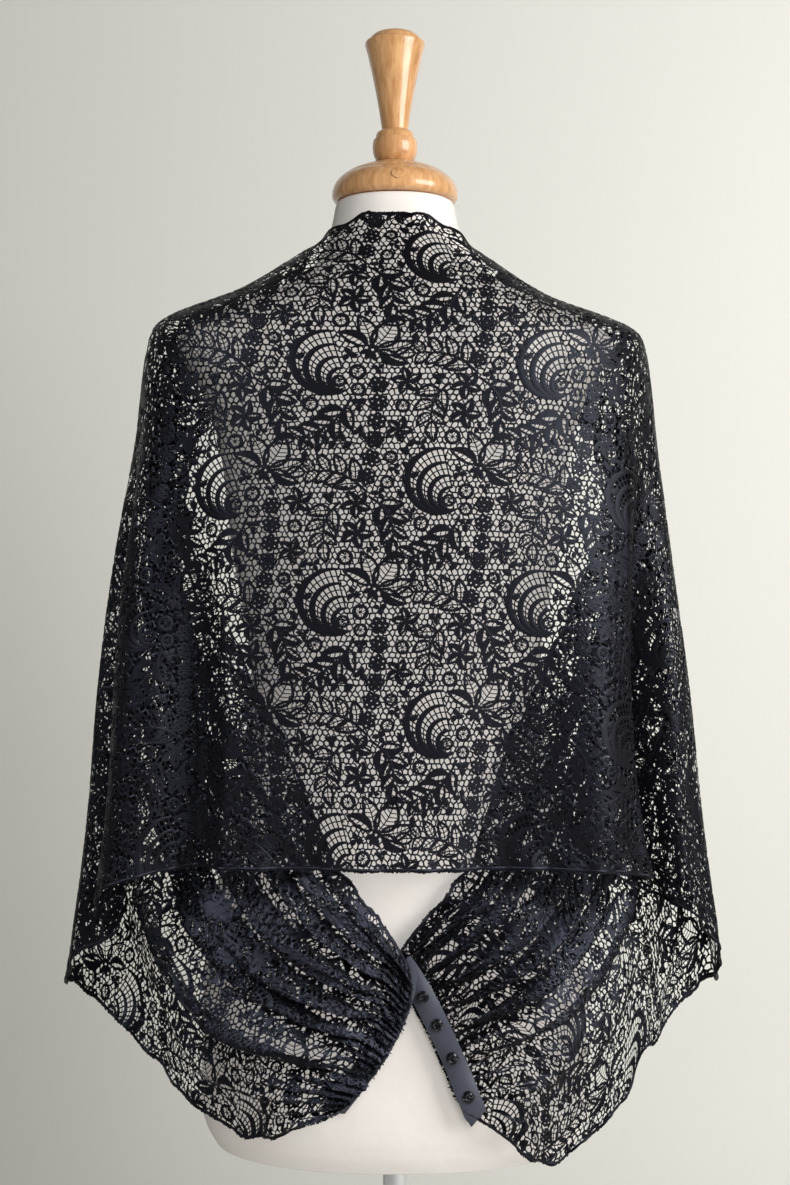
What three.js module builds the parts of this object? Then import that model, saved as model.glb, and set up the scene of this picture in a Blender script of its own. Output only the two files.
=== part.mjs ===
// A rectangular lace shawl worn as a shrug on a limbless dress form: the cloth lies across the
// back, turns forward over both shoulders and its two gathered ends meet again low on the back.
// Millimetres, +Z up. The origin is on the floor under the pole, -Y is the wearer's back,
// +Y the chest, +X the wearer's right-hand side.
import * as THREE from 'three';

// Cloth
const CLOTH_WIDTH = 560; // neck edge to hem edge
const CLOTH_WALL = 1.2;
const SEAM_GAP = 0.6; // between one stretch of the cloth and the next
const SECTION_POWER = 2.4; // squareness of a course as it rounds the back
const FOLD_Y = -3; // depth of the outer fold line
const BACK_ROWS = 16;
const BACK_COLUMNS = 27; // centre back to one fold
const COLUMN_CROWDING = 0.75; // below one, columns crowd towards the folds
const FOLD_STEPS = [2, 6, 13]; // extra columns beside the outer fold, which turns sharply
const WRAP_ROWS = 29;
const WRAP_COLUMNS = 17;
const COURSE_SAMPLES = 160;

// Snap tapes
const TAPE_WIDTH = 19;
const TAPE_WALL = 1.2;
const TAPE_STEPS = 18;
const TAPE_LANDING = 14; // length of cloth that lies flat against its tape
const PLEAT_RISE = 24; // run over which a pleat rises after that
const TAPE_POINT = 7; // length of the cut corner at the lower end
const SNAP_COUNT = 5;
const SNAP_FIRST = 0.12; // place of the first snap along the tape
const SNAP_LAST = 0.88;
const SNAP_SEGMENTS = 24;
const REST_GAP = 0.3; // between pieces that lie on one another

// Dress form and stand
const FORM_BOTTOM = 330;
const FORM_POWER = 2.2;
const FORM_SEGMENTS = 56;
const FORM_RINGS = 60;
const FORM_EDGE = 8; // height of the rounding at the lower edge
const TURNED_SEGMENTS = 48;
const POLE_RADIUS = 11;
const BASE_RADIUS = 160;
const BASE_THICKNESS = 9;
const BASE_BEVEL = 3;

// Half-width and depths of the form at each level, back and front counted from the pole.
const FORM_LEVELS = table(['z', 'halfWidth', 'back', 'front'], [
  [330, 160, 103, 96],
  [342, 167, 110, 103],
  [400, 172, 116, 108],
  [470, 171, 118, 108],
  [560, 158, 111, 102],
  [650, 138, 98, 94],
  [720, 128, 91, 90],
  [790, 134, 95, 99],
  [865, 147, 102, 117],
  [930, 154, 105, 108],
  [985, 168, 101, 83],
  [1021, 187, 91, 62],
  [1042.4, 195, 82, 50],
  [1061, 168, 76, 43],
  [1081.2, 121, 72, 40],
  [1099, 85, 68, 42],
  [1118, 66, 62, 47],
  [1138, 58, 56, 53],
  [1166, 52, 52, 52],
]);

// Centre back: depth and height of each course of the lace, counted from the neck edge.
const CENTRE_BACK = table(['b', 'y', 'z'], [
  [0, -64, 1143],
  [60, -88, 1089],
  [120, -106, 1031],
  [190, -117, 962],
  [280, -124, 872],
  [370, -129, 782],
  [460, -134, 692],
  [560, -140, 591],
]);

// Outer line of the cloth, shoulder ridge then sleeve fold, where each course turns forward.
// Drop is how late a course leaves its centre height on the way out.
const FOLD_LINE = table(['b', 'leftX', 'leftZ', 'rightX', 'rightZ', 'drop'], [
  [0, 78, 1119, 92, 1100, 2],
  [60, 136, 1086, 142, 1075, 2.2],
  [120, 216, 1050, 220, 1042, 2.5],
  [190, 232, 950, 234, 940, 3],
  [280, 251, 840, 247, 838, 4],
  [370, 264, 735, 257, 738, 5],
  [460, 274, 612, 267, 612, 6],
  [560, 292, 470, 286, 474, 8],
]);

// The same courses after the fold: round the front of the sleeve, under the arm, over the back.
const WRAP_COLUMNS_NAMED = ['b', 'frontX', 'frontY', 'frontZ', 'sideX', 'sideY', 'sideZ', 'backX', 'backY', 'backZ'];
const WRAP_SHARED = [
  [0, 146, 60, 1030, 194, 16, 908, 126, -64, 742],
  [60, 186, 62, 1000, 198, 12, 862, 124, -74, 690],
  [120, 214, 54, 962, 198, 8, 815, 126, -80, 652],
  [190, 226, 52, 884, 196, 2, 765, 132, -82, 612],
  [280, 238, 48, 780, 198, -6, 692, 140, -84, 568],
  [370, 248, 43, 682, 204, -14, 616, 150, -82, 520],
  [460, 261, 34, 566, 218, -26, 528, 166, -72, 458],
];
const WRAP_LEFT = table(WRAP_COLUMNS_NAMED, [
  ...WRAP_SHARED,
  [560, 240, -26, 436, 170, -70, 379, 114, -104, 361],
]);
const WRAP_RIGHT = table(WRAP_COLUMNS_NAMED, [
  ...WRAP_SHARED,
  [560, 240, -28, 442, 212, -56, 398, 134, -94, 338],
]);

// Hanging folds of the back: where each starts and ends along the course (0 centre back, 1 outer
// fold), its width and its height. Negative heights are grooves.
const FOLD_COLUMNS = ['startB', 'startAt', 'hemAt', 'width', 'height'];
const FOLDS_LEFT = table(FOLD_COLUMNS, [
  [150, 0.62, 0.43, 34, -24],
  [150, 0.78, 0.59, 46, 20],
  [130, 0.9, 0.77, 30, -40],
  [300, 0.3, 0.2, 60, -7],
]);
const FOLDS_RIGHT = table(FOLD_COLUMNS, [
  [200, 0.6, 0.43, 44, 14],
  [120, 0.84, 0.63, 34, -50],
  [240, 0.95, 0.84, 40, 8],
  [300, 0.34, 0.22, 56, -8],
]);

// Gather pleats of the ends: place across the cloth, width there, height and reach from the tape.
const PLEAT_COLUMNS = ['b', 'width', 'height', 'reach'];
const PLEATS_LEFT = table(PLEAT_COLUMNS, [
  [70, 42, 7, 120],
  [150, 40, 8, 190],
  [232, 44, 7, 150],
  [318, 42, 9, 230],
  [402, 44, 8, 170],
  [488, 40, 7, 120],
]);
const PLEATS_RIGHT = table(PLEAT_COLUMNS, [
  [58, 40, 7, 130],
  [138, 42, 8, 180],
  [216, 38, 7, 140],
  [300, 46, 9, 230],
  [384, 40, 8, 190],
  [452, 36, 7, 130],
  [516, 34, 7, 110],
]);

// Each tape follows a bow from its top end past one control point to its lower end; y is the depth
// of the cloth end, and tapeSide says whether the tape lies outside (-1) or inside (1) of it.
const TAPES = table(['name', 'topX', 'topZ', 'bowX', 'bowZ', 'lowX', 'lowZ', 'y', 'tapeSide'], [
  ['left', 8, 513, 14, 469, -54, 390, -137.2, 1],
  ['right', 5, 513, 32, 478, 69, 381, -127.6, -1],
]);

// Turned wood of the neck, radius against height.
const NECK_CAP_PROFILE = table(['r', 'z'], [
  [50, 1166.3], [54.5, 1168], [56.5, 1172], [56.5, 1176], [54.5, 1183], [49, 1190],
  [40, 1196.5], [28, 1201], [16, 1204],
]);
const FINIAL_PROFILE = table(['r', 'z'], [
  [13, 1204.3], [17.5, 1207], [20, 1213], [20, 1219], [17.5, 1224.5], [14.5, 1226.5], [17, 1228.5],
  [17, 1231], [13, 1233.5], [11, 1238], [12, 1250], [15.5, 1268], [21, 1288], [26, 1302],
  [27.4, 1308], [26, 1313.5], [20, 1318.5], [11, 1321.3],
]);

// Snap parts, radius against height above the tape they are sewn to.
const SOCKET_PROFILE = table(['r', 'h'], [[5, 0], [5, 1], [4.4, 1.6], [3.2, 1.8], [2.2, 1.2]]);
const STUD_PROFILE = table(['r', 'h'], [[5, 0], [5, 0.8], [4.2, 1.3], [2.4, 1.4], [1.6, 1.9]]);

/** Rows of values as objects keyed by the column names. */
function table(columns, rows) {
  return rows.map((row) => Object.fromEntries(columns.map((name, i) => [name, row[i]])));
}

/** Monotone cubic through one column of a table, as a function of the key column. */
function smoothColumn(rows, key, column) {
  const x = rows.map((row) => row[key]);
  const y = rows.map((row) => row[column]);
  const last = x.length - 1;
  const step = x.slice(1).map((value, i) => value - x[i]);
  const slope = step.map((h, i) => (y[i + 1] - y[i]) / h);
  const tangent = x.map((_, i) => {
    if (i === 0) return slope[0];
    if (i === last) return slope[last - 1];
    if (slope[i - 1] * slope[i] <= 0) return 0;
    const before = 2 * step[i] + step[i - 1];
    const after = step[i] + 2 * step[i - 1];
    return (before + after) / (before / slope[i - 1] + after / slope[i]);
  });
  return (value) => {
    let i = 0;
    while (i < last - 1 && value > x[i + 1]) i += 1;
    const t = Math.min(Math.max((value - x[i]) / step[i], 0), 1);
    const u = 1 - t;
    return u * u * (1 + 2 * t) * y[i] + t * t * (3 - 2 * t) * y[i + 1]
      + step[i] * (u * u * t * tangent[i] - t * t * u * tangent[i + 1]);
  };
}

/** Cubic with even curvature through one column of a table, as a function of the key column. */
function fairColumn(rows, key, column) {
  const x = rows.map((row) => row[key]);
  const y = rows.map((row) => row[column]);
  const last = x.length - 1;
  const bend = new Array(last + 1).fill(0);
  const carry = new Array(last + 1).fill(0);
  for (let i = 1; i < last; i += 1) {
    const share = (x[i] - x[i - 1]) / (x[i + 1] - x[i - 1]);
    const pivot = share * bend[i - 1] + 2;
    const turn = (y[i + 1] - y[i]) / (x[i + 1] - x[i]) - (y[i] - y[i - 1]) / (x[i] - x[i - 1]);
    bend[i] = (share - 1) / pivot;
    carry[i] = ((6 * turn) / (x[i + 1] - x[i - 1]) - share * carry[i - 1]) / pivot;
  }
  for (let i = last - 1; i >= 0; i -= 1) bend[i] = bend[i] * bend[i + 1] + carry[i];
  return (value) => {
    let i = 0;
    while (i < last - 1 && value > x[i + 1]) i += 1;
    const step = x[i + 1] - x[i];
    const u = (x[i + 1] - value) / step;
    const t = (value - x[i]) / step;
    return u * y[i] + t * y[i + 1] + ((u ** 3 - u) * bend[i] + (t ** 3 - t) * bend[i + 1]) * step * step / 6;
  };
}

/** All columns of a table as smooth functions of its key column. */
function smoothTable(rows, key, through = smoothColumn) {
  return Object.fromEntries(Object.keys(rows[0]).map((column) => [column, through(rows, key, column)]));
}

function smoothStep(value) {
  const t = Math.min(Math.max(value, 0), 1);
  return t * t * (3 - 2 * t);
}

/** Rounded ridge of unit height, zero outside half a width either way. */
function ridge(distance, width) {
  const t = Math.abs(distance) / width;
  return t < 1 ? 0.5 + 0.5 * Math.cos(Math.PI * t) : 0;
}

/** Points spaced along a polyline at the given shares of its length. */
function spaceAlong(points, shares) {
  const run = [0];
  for (let i = 1; i < points.length; i += 1) run.push(run[i - 1] + points[i].distanceTo(points[i - 1]));
  const total = run[run.length - 1];
  let i = 0;
  return shares.map((share) => {
    const target = share * total;
    while (i < points.length - 2 && run[i + 1] < target) i += 1;
    while (i > 0 && run[i] > target) i -= 1;
    return points[i].clone().lerp(points[i + 1], (target - run[i]) / (run[i + 1] - run[i]));
  });
}

/** Cubic curve through points with given directions at the first point and at the last two. */
function curveThrough(points, startDirection, endDirection, samples) {
  const chord = points.slice(1).map((point, i) => point.distanceTo(points[i]));
  const tangents = points.map((point, i) => {
    if (i === 0) return startDirection.clone().multiplyScalar(0.9);
    if (i >= points.length - 2) return endDirection;
    return points[i + 1].clone().sub(points[i - 1]).divideScalar(chord[i] + chord[i - 1]);
  });
  const result = [];
  const perSpan = Math.ceil(samples / chord.length);
  for (let i = 0; i < chord.length; i += 1) {
    for (let j = i === 0 ? 0 : 1; j <= perSpan; j += 1) {
      const t = j / perSpan;
      const u = 1 - t;
      result.push(points[i].clone().multiplyScalar(u * u * (1 + 2 * t))
        .addScaledVector(points[i + 1], t * t * (3 - 2 * t))
        .addScaledVector(tangents[i], u * u * t * chord[i])
        .addScaledVector(tangents[i + 1], -t * t * u * chord[i]));
    }
  }
  return result;
}

/** Closed solid from rings of equal length, from the lowest to the highest, capped by fans. */
function solidFromRings(rings) {
  const count = rings[0].length;
  const positions = rings.flat();
  const faces = [];
  for (let i = 0; i < rings.length - 1; i += 1) {
    for (let j = 0; j < count; j += 1) {
      const a = i * count + j;
      const b = i * count + ((j + 1) % count);
      faces.push(a, b, b + count, a, b + count, a + count);
    }
  }
  for (const [ring, flipped] of [[0, true], [rings.length - 1, false]]) {
    const middle = positions.length;
    const centre = rings[ring].reduce((sum, point) => sum.add(point), new THREE.Vector3());
    positions.push(centre.divideScalar(count));
    for (let j = 0; j < count; j += 1) {
      const a = ring * count + j;
      const b = ring * count + ((j + 1) % count);
      if (flipped) faces.push(b, a, middle);
      else faces.push(a, b, middle);
    }
  }
  return geometryFrom(positions, faces);
}

/** Closed wall of even thickness about a grid of points; a positive turn keeps faces outward. */
function wallFromGrid(grid, wall) {
  const rows = grid.length;
  const columns = grid[0].length;
  const normals = gridNormals(grid);
  const positions = [];
  for (const side of [0.5, -0.5]) {
    grid.forEach((row, i) => row.forEach((point, j) => {
      positions.push(point.clone().addScaledVector(normals[i][j], side * wall));
    }));
  }
  const at = (layer, i, j) => layer * rows * columns + i * columns + j;
  const faces = [];
  const quad = (a, b, c, d) => faces.push(a, b, c, a, c, d);
  for (let i = 0; i < rows - 1; i += 1) {
    for (let j = 0; j < columns - 1; j += 1) {
      quad(at(0, i, j), at(0, i, j + 1), at(0, i + 1, j + 1), at(0, i + 1, j));
      quad(at(1, i, j), at(1, i + 1, j), at(1, i + 1, j + 1), at(1, i, j + 1));
    }
  }
  for (let j = 0; j < columns - 1; j += 1) {
    quad(at(0, 0, j + 1), at(0, 0, j), at(1, 0, j), at(1, 0, j + 1));
    quad(at(0, rows - 1, j), at(0, rows - 1, j + 1), at(1, rows - 1, j + 1), at(1, rows - 1, j));
  }
  for (let i = 0; i < rows - 1; i += 1) {
    quad(at(0, i, 0), at(0, i + 1, 0), at(1, i + 1, 0), at(1, i, 0));
    quad(at(0, i + 1, columns - 1), at(0, i, columns - 1), at(1, i, columns - 1), at(1, i + 1, columns - 1));
  }
  return geometryFrom(positions, faces);
}

/** Unit normals of a grid of points, along its columns crossed with along its rows. */
function gridNormals(grid) {
  const rows = grid.length;
  const columns = grid[0].length;
  return grid.map((row, i) => row.map((_, j) => {
    const along = grid[i][Math.min(j + 1, columns - 1)].clone().sub(grid[i][Math.max(j - 1, 0)]);
    const across = grid[Math.min(i + 1, rows - 1)][j].clone().sub(grid[Math.max(i - 1, 0)][j]);
    return along.cross(across).normalize();
  }));
}

function geometryFrom(positions, faces) {
  const geometry = new THREE.BufferGeometry();
  const numbers = positions.flatMap((point) => [point.x, point.y, point.z]);
  geometry.setAttribute('position', new THREE.Float32BufferAttribute(numbers, 3));
  geometry.setIndex(faces);
  geometry.computeVertexNormals();
  return geometry;
}

/** Rings of a turned profile about a vertical axis. */
function turnedRings(profile, segments, heightKey) {
  return profile.map((row) => Array.from({ length: segments }, (_, j) => {
    const angle = (2 * Math.PI * j) / segments;
    return new THREE.Vector3(row.r * Math.cos(angle), row.r * Math.sin(angle), row[heightKey]);
  }));
}

/** Rings of the torso, an unequal oval at each level. */
function torsoRings() {
  const level = smoothTable(FORM_LEVELS, 'z', fairColumn);
  const top = FORM_LEVELS[FORM_LEVELS.length - 1].z;
  const heights = Array.from({ length: FORM_RINGS }, (_, i) => FORM_BOTTOM + ((top - FORM_BOTTOM) * i) / (FORM_RINGS - 1));
  heights.splice(1, 0, FORM_BOTTOM + FORM_EDGE / 4, FORM_BOTTOM + FORM_EDGE);
  return heights.map((z) => Array.from({ length: FORM_SEGMENTS }, (_, j) => {
    const angle = (2 * Math.PI * j) / FORM_SEGMENTS;
    const bend = (value) => Math.sign(value) * Math.abs(value) ** (2 / FORM_POWER);
    const depth = Math.sin(angle) < 0 ? level.back(z) : level.front(z);
    return new THREE.Vector3(level.halfWidth(z) * bend(Math.cos(angle)), depth * bend(Math.sin(angle)), z);
  }));
}

/** The two halves of the shawl: signs and tables of each side. */
const SIDES = {
  left: { sign: -1, foldX: 'leftX', foldZ: 'leftZ', wrap: WRAP_LEFT, folds: FOLDS_LEFT, pleats: PLEATS_LEFT },
  right: { sign: 1, foldX: 'rightX', foldZ: 'rightZ', wrap: WRAP_RIGHT, folds: FOLDS_RIGHT, pleats: PLEATS_RIGHT },
};
const centreBack = smoothTable(CENTRE_BACK, 'b');
const foldLine = smoothTable(FOLD_LINE, 'b');
for (const side of Object.values(SIDES)) side.wrapAt = smoothTable(side.wrap, 'b');

/** Point of a tape's bow at a share of its length, in the plane of the back. */
function tapeBow(tape, t) {
  const u = 1 - t;
  return {
    x: u * u * tape.topX + 2 * u * t * tape.bowX + t * t * tape.lowX,
    z: u * u * tape.topZ + 2 * u * t * tape.bowZ + t * t * tape.lowZ,
  };
}

/** One course of the back from the centre to the outer fold, on the positive side. */
function backCourse(side, b) {
  const foldX = foldLine[side.foldX](b);
  const foldZ = foldLine[side.foldZ](b);
  const centreY = centreBack.y(b);
  const centreZ = centreBack.z(b);
  const smooth = [];
  for (let i = 0; i <= COURSE_SAMPLES; i += 1) {
    const angle = (0.5 * Math.PI * i) / COURSE_SAMPLES;
    const x = foldX * Math.sin(angle) ** (2 / SECTION_POWER);
    const y = FOLD_Y + (centreY - FOLD_Y) * Math.max(Math.cos(angle), 0) ** (2 / SECTION_POWER);
    smooth.push(new THREE.Vector3(x, y, centreZ + (foldZ - centreZ) * (x / foldX) ** foldLine.drop(b)));
  }
  const even = spaceAlong(smooth, Array.from({ length: COURSE_SAMPLES + 1 }, (_, i) => i / COURSE_SAMPLES));
  const length = even.slice(1).reduce((sum, point, i) => sum + point.distanceTo(even[i]), 0);
  return even.map((point, i) => {
    const at = i / COURSE_SAMPLES;
    const before = even[Math.max(i - 1, 0)];
    const after = even[Math.min(i + 1, COURSE_SAMPLES)];
    const outward = new THREE.Vector3(after.y - before.y, before.x - after.x, 0).normalize();
    let height = 0;
    for (const fold of side.folds) {
      const grown = smoothStep((b - fold.startB) / (CLOTH_WIDTH - fold.startB) * 1.25);
      const place = fold.startAt + (fold.hemAt - fold.startAt) * Math.max(b - fold.startB, 0) / (CLOTH_WIDTH - fold.startB);
      height += fold.height * grown * ridge((at - place) * length, fold.width);
    }
    const ends = smoothStep(at * 12) * smoothStep((1 - at) * 12);
    return point.clone().addScaledVector(outward, height * ends);
  });
}

/** One course from the outer fold round the front of the sleeve to the gathered end. */
function wrapCourse(side, tape, b) {
  const at = side.wrapAt;
  const end = tapeBow(tape, b / CLOTH_WIDTH);
  const gathered = new THREE.Vector3(side.sign * end.x, tape.y, end.z);
  const outward = new THREE.Vector3(at.backX(b) - gathered.x, 0, at.backZ(b) - gathered.z).normalize();
  return curveThrough([
    new THREE.Vector3(foldLine[side.foldX](b), FOLD_Y, foldLine[side.foldZ](b)),
    new THREE.Vector3(at.frontX(b), at.frontY(b), at.frontZ(b)),
    new THREE.Vector3(at.sideX(b), at.sideY(b), at.sideZ(b)),
    new THREE.Vector3(at.backX(b), at.backY(b), at.backZ(b)),
    gathered.clone().addScaledVector(outward, TAPE_LANDING),
    gathered,
  ], new THREE.Vector3(0, 1, 0), outward.negate(), COURSE_SAMPLES);
}

function mirrored(points, sign) {
  return points.map((point) => new THREE.Vector3(sign * point.x, point.y, point.z));
}

/** Grid of the whole back, left fold to right fold, a row for each course. */
function backGrid() {
  const grid = [];
  for (let i = 0; i < BACK_ROWS; i += 1) {
    const b = (CLOTH_WIDTH * i) / (BACK_ROWS - 1);
    const halves = ['left', 'right'].map((name) => {
      const side = SIDES[name];
      const course = backCourse(side, b);
      const length = course.slice(1).reduce((sum, point, k) => sum + point.distanceTo(course[k]), 0);
      const even = Array.from({ length: BACK_COLUMNS }, (_, j) => (j / BACK_COLUMNS) ** COLUMN_CROWDING);
      const near = FOLD_STEPS.map((step) => length - step);
      const last = near[near.length - 1];
      const runs = [...even.map((share) => share * last), ...near.reverse(), length - SEAM_GAP / 2];
      return mirrored(spaceAlong(course, runs.map((run) => run / length)), side.sign);
    });
    grid.push([...halves[0].slice(1).reverse(), ...halves[1]]);
  }
  return grid;
}

/** Grid of one wrapped end, outer fold to gathered end, with its pleats raised from the tape. */
function wrapGrid(name) {
  const side = SIDES[name];
  const tape = TAPES.find((row) => row.name === name);
  const lengths = [];
  const grid = [];
  for (let i = 0; i < WRAP_ROWS; i += 1) {
    const course = wrapCourse(side, tape, (CLOTH_WIDTH * i) / (WRAP_ROWS - 1));
    const length = course.slice(1).reduce((sum, point, k) => sum + point.distanceTo(course[k]), 0);
    const first = FOLD_STEPS[FOLD_STEPS.length - 1];
    const open = length - TAPE_LANDING - first;
    const even = Array.from({ length: WRAP_COLUMNS }, (_, j) => first + (open * (j + 1)) / WRAP_COLUMNS);
    const shares = [SEAM_GAP / 2, ...FOLD_STEPS, ...even, length].map((run) => run / length);
    lengths.push(shares.map((share) => (1 - share) * length));
    grid.push(mirrored(spaceAlong(course, shares), side.sign));
  }
  const normals = gridNormals(grid);
  return grid.map((row, i) => row.map((point, j) => {
    const b = (CLOTH_WIDTH * i) / (WRAP_ROWS - 1);
    const fromTape = lengths[i][j];
    let height = 0;
    for (const pleat of side.pleats) {
      height += pleat.height * ridge(b - pleat.b, pleat.width) * (1 - smoothStep(fromTape / pleat.reach));
    }
    const rise = smoothStep((fromTape - TAPE_LANDING) / PLEAT_RISE);
    return point.clone().addScaledVector(normals[i][j], side.sign * height * rise);
  }));
}

/** Grid of a snap tape, top end to lower end, its lower corners cut to a point. */
function tapeGrid(tape) {
  const grid = [];
  const y = tape.y + tape.tapeSide * (CLOTH_WALL / 2 + REST_GAP + TAPE_WALL / 2 + 0.5);
  for (let i = 0; i <= TAPE_STEPS; i += 1) {
    const t = i / TAPE_STEPS;
    const point = tapeBow(tape, t);
    const next = tapeBow(tape, t + 0.01);
    const along = new THREE.Vector3(next.x - point.x, 0, next.z - point.z).normalize();
    const across = new THREE.Vector3(along.z, 0, -along.x);
    const fromEnd = (1 - t) * TAPE_STEPS;
    const half = (TAPE_WIDTH / 2) * (fromEnd < 1 ? 1 - TAPE_POINT / TAPE_WIDTH : 1);
    grid.push([-half, 0, half].map((offset) => new THREE.Vector3(point.x, y, point.z).addScaledVector(across, offset)));
  }
  return grid;
}

/** Rings of a snap part standing out from a tape along Y. */
function snapRings(profile, centre, direction) {
  const rings = profile.map((row) => Array.from({ length: SNAP_SEGMENTS }, (_, j) => {
    const angle = (2 * Math.PI * j) / SNAP_SEGMENTS;
    return new THREE.Vector3(
      centre.x - direction * row.r * Math.cos(angle),
      centre.y + direction * row.h,
      centre.z + row.r * Math.sin(angle),
    );
  }));
  return rings;
}

const MATERIALS = {
  lace: new THREE.MeshStandardMaterial({ color: 0x17161b, roughness: 0.8, side: THREE.DoubleSide }),
  tape: new THREE.MeshStandardMaterial({ color: 0x3a3a42, roughness: 0.55 }),
  snap: new THREE.MeshStandardMaterial({ color: 0x24242a, roughness: 0.35, metalness: 0.6 }),
  cover: new THREE.MeshStandardMaterial({ color: 0xebe6e1, roughness: 0.9 }),
  wood: new THREE.MeshStandardMaterial({ color: 0xd29b62, roughness: 0.35 }),
  chrome: new THREE.MeshStandardMaterial({ color: 0xd8dade, roughness: 0.12, metalness: 1 }),
};

const part = new THREE.Group();
part.name = 'lace_shawl_on_dress_form';

function add(name, geometry, material) {
  const mesh = new THREE.Mesh(geometry, MATERIALS[material]);
  mesh.name = name;
  part.add(mesh);
}

add('shawl_back', wallFromGrid(backGrid(), CLOTH_WALL), 'lace');
add('shawl_wrap_left', wallFromGrid(wrapGrid('left'), CLOTH_WALL), 'lace');
add('shawl_wrap_right', wallFromGrid(wrapGrid('right'), CLOTH_WALL), 'lace');

const rightTape = TAPES.find((row) => row.name === 'right');
for (const tape of TAPES) {
  add(`snap_tape_${tape.name}`, wallFromGrid(tapeGrid(tape), TAPE_WALL), 'tape');
  const tapeY = tape.y + tape.tapeSide * (CLOTH_WALL / 2 + REST_GAP + TAPE_WALL / 2 + 0.5);
  for (let i = 0; i < SNAP_COUNT; i += 1) {
    const t = SNAP_FIRST + ((SNAP_LAST - SNAP_FIRST) * i) / (SNAP_COUNT - 1);
    const place = tapeBow(i === 0 ? rightTape : tape, t);
    const y = tapeY + tape.tapeSide * (TAPE_WALL / 2 + REST_GAP);
    const profile = tape.name === 'right' ? SOCKET_PROFILE : STUD_PROFILE;
    const kind = tape.name === 'right' ? 'snap_socket' : 'snap_stud';
    add(`${kind}_${i + 1}`, solidFromRings(snapRings(profile, { x: place.x, y, z: place.z }, tape.tapeSide)), 'snap');
  }
}

add('form_torso', solidFromRings(torsoRings()), 'cover');
add('neck_cap', solidFromRings(turnedRings(NECK_CAP_PROFILE, TURNED_SEGMENTS, 'z')), 'wood');
add('neck_finial', solidFromRings(turnedRings(FINIAL_PROFILE, TURNED_SEGMENTS, 'z')), 'wood');
add('stand_pole', solidFromRings(turnedRings(table(['r', 'z'], [
  [POLE_RADIUS, BASE_THICKNESS + REST_GAP],
  [POLE_RADIUS, FORM_BOTTOM - REST_GAP],
]), TURNED_SEGMENTS, 'z')), 'chrome');
add('stand_base', solidFromRings(turnedRings(table(['r', 'z'], [
  [BASE_RADIUS, 0],
  [BASE_RADIUS, BASE_THICKNESS - BASE_BEVEL],
  [BASE_RADIUS - BASE_BEVEL, BASE_THICKNESS],
]), TURNED_SEGMENTS, 'z')), 'chrome');

export default part;
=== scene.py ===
"""Looks of a black lace shawl, worn as a shrug on a limbless dress form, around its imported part.

Objects are in metres, +Z up, and -Y is the wearer's back, which the camera sees. The lace is worked
out flat, in millimetres: a runs along the shawl from the centre back, positive towards +X, and b
across it from the neck edge to the hem. A drape then carries each flat point into place.
"""

import logging
import math
from dataclasses import dataclass, field
from enum import Enum

import bpy
import numpy as np
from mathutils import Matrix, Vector
from mathutils.bvhtree import BVHTree


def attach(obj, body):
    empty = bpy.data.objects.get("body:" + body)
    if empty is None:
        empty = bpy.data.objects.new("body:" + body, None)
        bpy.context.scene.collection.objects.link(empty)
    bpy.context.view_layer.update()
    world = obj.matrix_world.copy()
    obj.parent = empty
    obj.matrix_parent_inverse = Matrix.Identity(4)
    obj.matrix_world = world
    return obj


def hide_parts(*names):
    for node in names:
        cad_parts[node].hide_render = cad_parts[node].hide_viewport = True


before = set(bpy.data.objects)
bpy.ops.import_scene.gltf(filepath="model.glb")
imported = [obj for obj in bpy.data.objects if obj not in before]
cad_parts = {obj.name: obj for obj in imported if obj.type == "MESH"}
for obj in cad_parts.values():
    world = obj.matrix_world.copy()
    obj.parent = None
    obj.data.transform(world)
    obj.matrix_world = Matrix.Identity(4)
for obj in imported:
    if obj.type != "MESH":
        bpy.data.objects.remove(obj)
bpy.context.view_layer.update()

MM = 0.001
WAVE_SCALE = 0.314  # scale of a wave texture whose bands are one unit apart
MOTIF_RISE = 0.25  # height of the motifs' edges over the net, in millimetres
log = logging.getLogger("lace_shawl")


class Side(Enum):
    """A half of the shawl, valued by the sign of its X."""

    LEFT = -1
    RIGHT = 1


class Filling(Enum):
    """What a leaf of the lace holds inside its outline."""

    BARS = "bars"
    HALF_SOLID = "half solid"
    SOLID = "solid"


def linear(colour: str) -> tuple[float, float, float, float]:
    """Turn an sRGB hex colour into linear RGBA.

    Args:
        colour: Six hex digits after a hash sign.

    Returns:
        Linear red, green, blue and an alpha of one.
    """
    parts = [int(colour[i : i + 2], 16) / 255 for i in (1, 3, 5)]
    return (*(p / 12.92 if p <= 0.04045 else ((p + 0.055) / 1.055) ** 2.4 for p in parts), 1.0)


def fill_sockets(tree: bpy.types.NodeTree, node: bpy.types.Node, inputs: dict) -> None:
    """Give a node's sockets their values and links.

    Args:
        tree: Node tree of the node.
        node: The node.
        inputs: Socket name or number to a value, or to an output socket to link from.
    """
    for socket, value in inputs.items():
        if isinstance(value, bpy.types.NodeSocket):
            tree.links.new(value, node.inputs[socket])
        else:
            node.inputs[socket].default_value = value


def add_node(
    tree: bpy.types.NodeTree, kind: str, inputs: dict | None = None, **settings
) -> bpy.types.Node:
    """Add a node with its settings, values and links.

    Args:
        tree: Node tree that takes the node.
        kind: Type name of the node.
        inputs: Socket name or number to a value, or to an output socket to link from.
        **settings: Properties of the node itself.

    Returns:
        The new node.
    """
    node = tree.nodes.new(kind)
    for name, value in settings.items():
        setattr(node, name, value)
    fill_sockets(tree, node, inputs or {})
    return node


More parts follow.
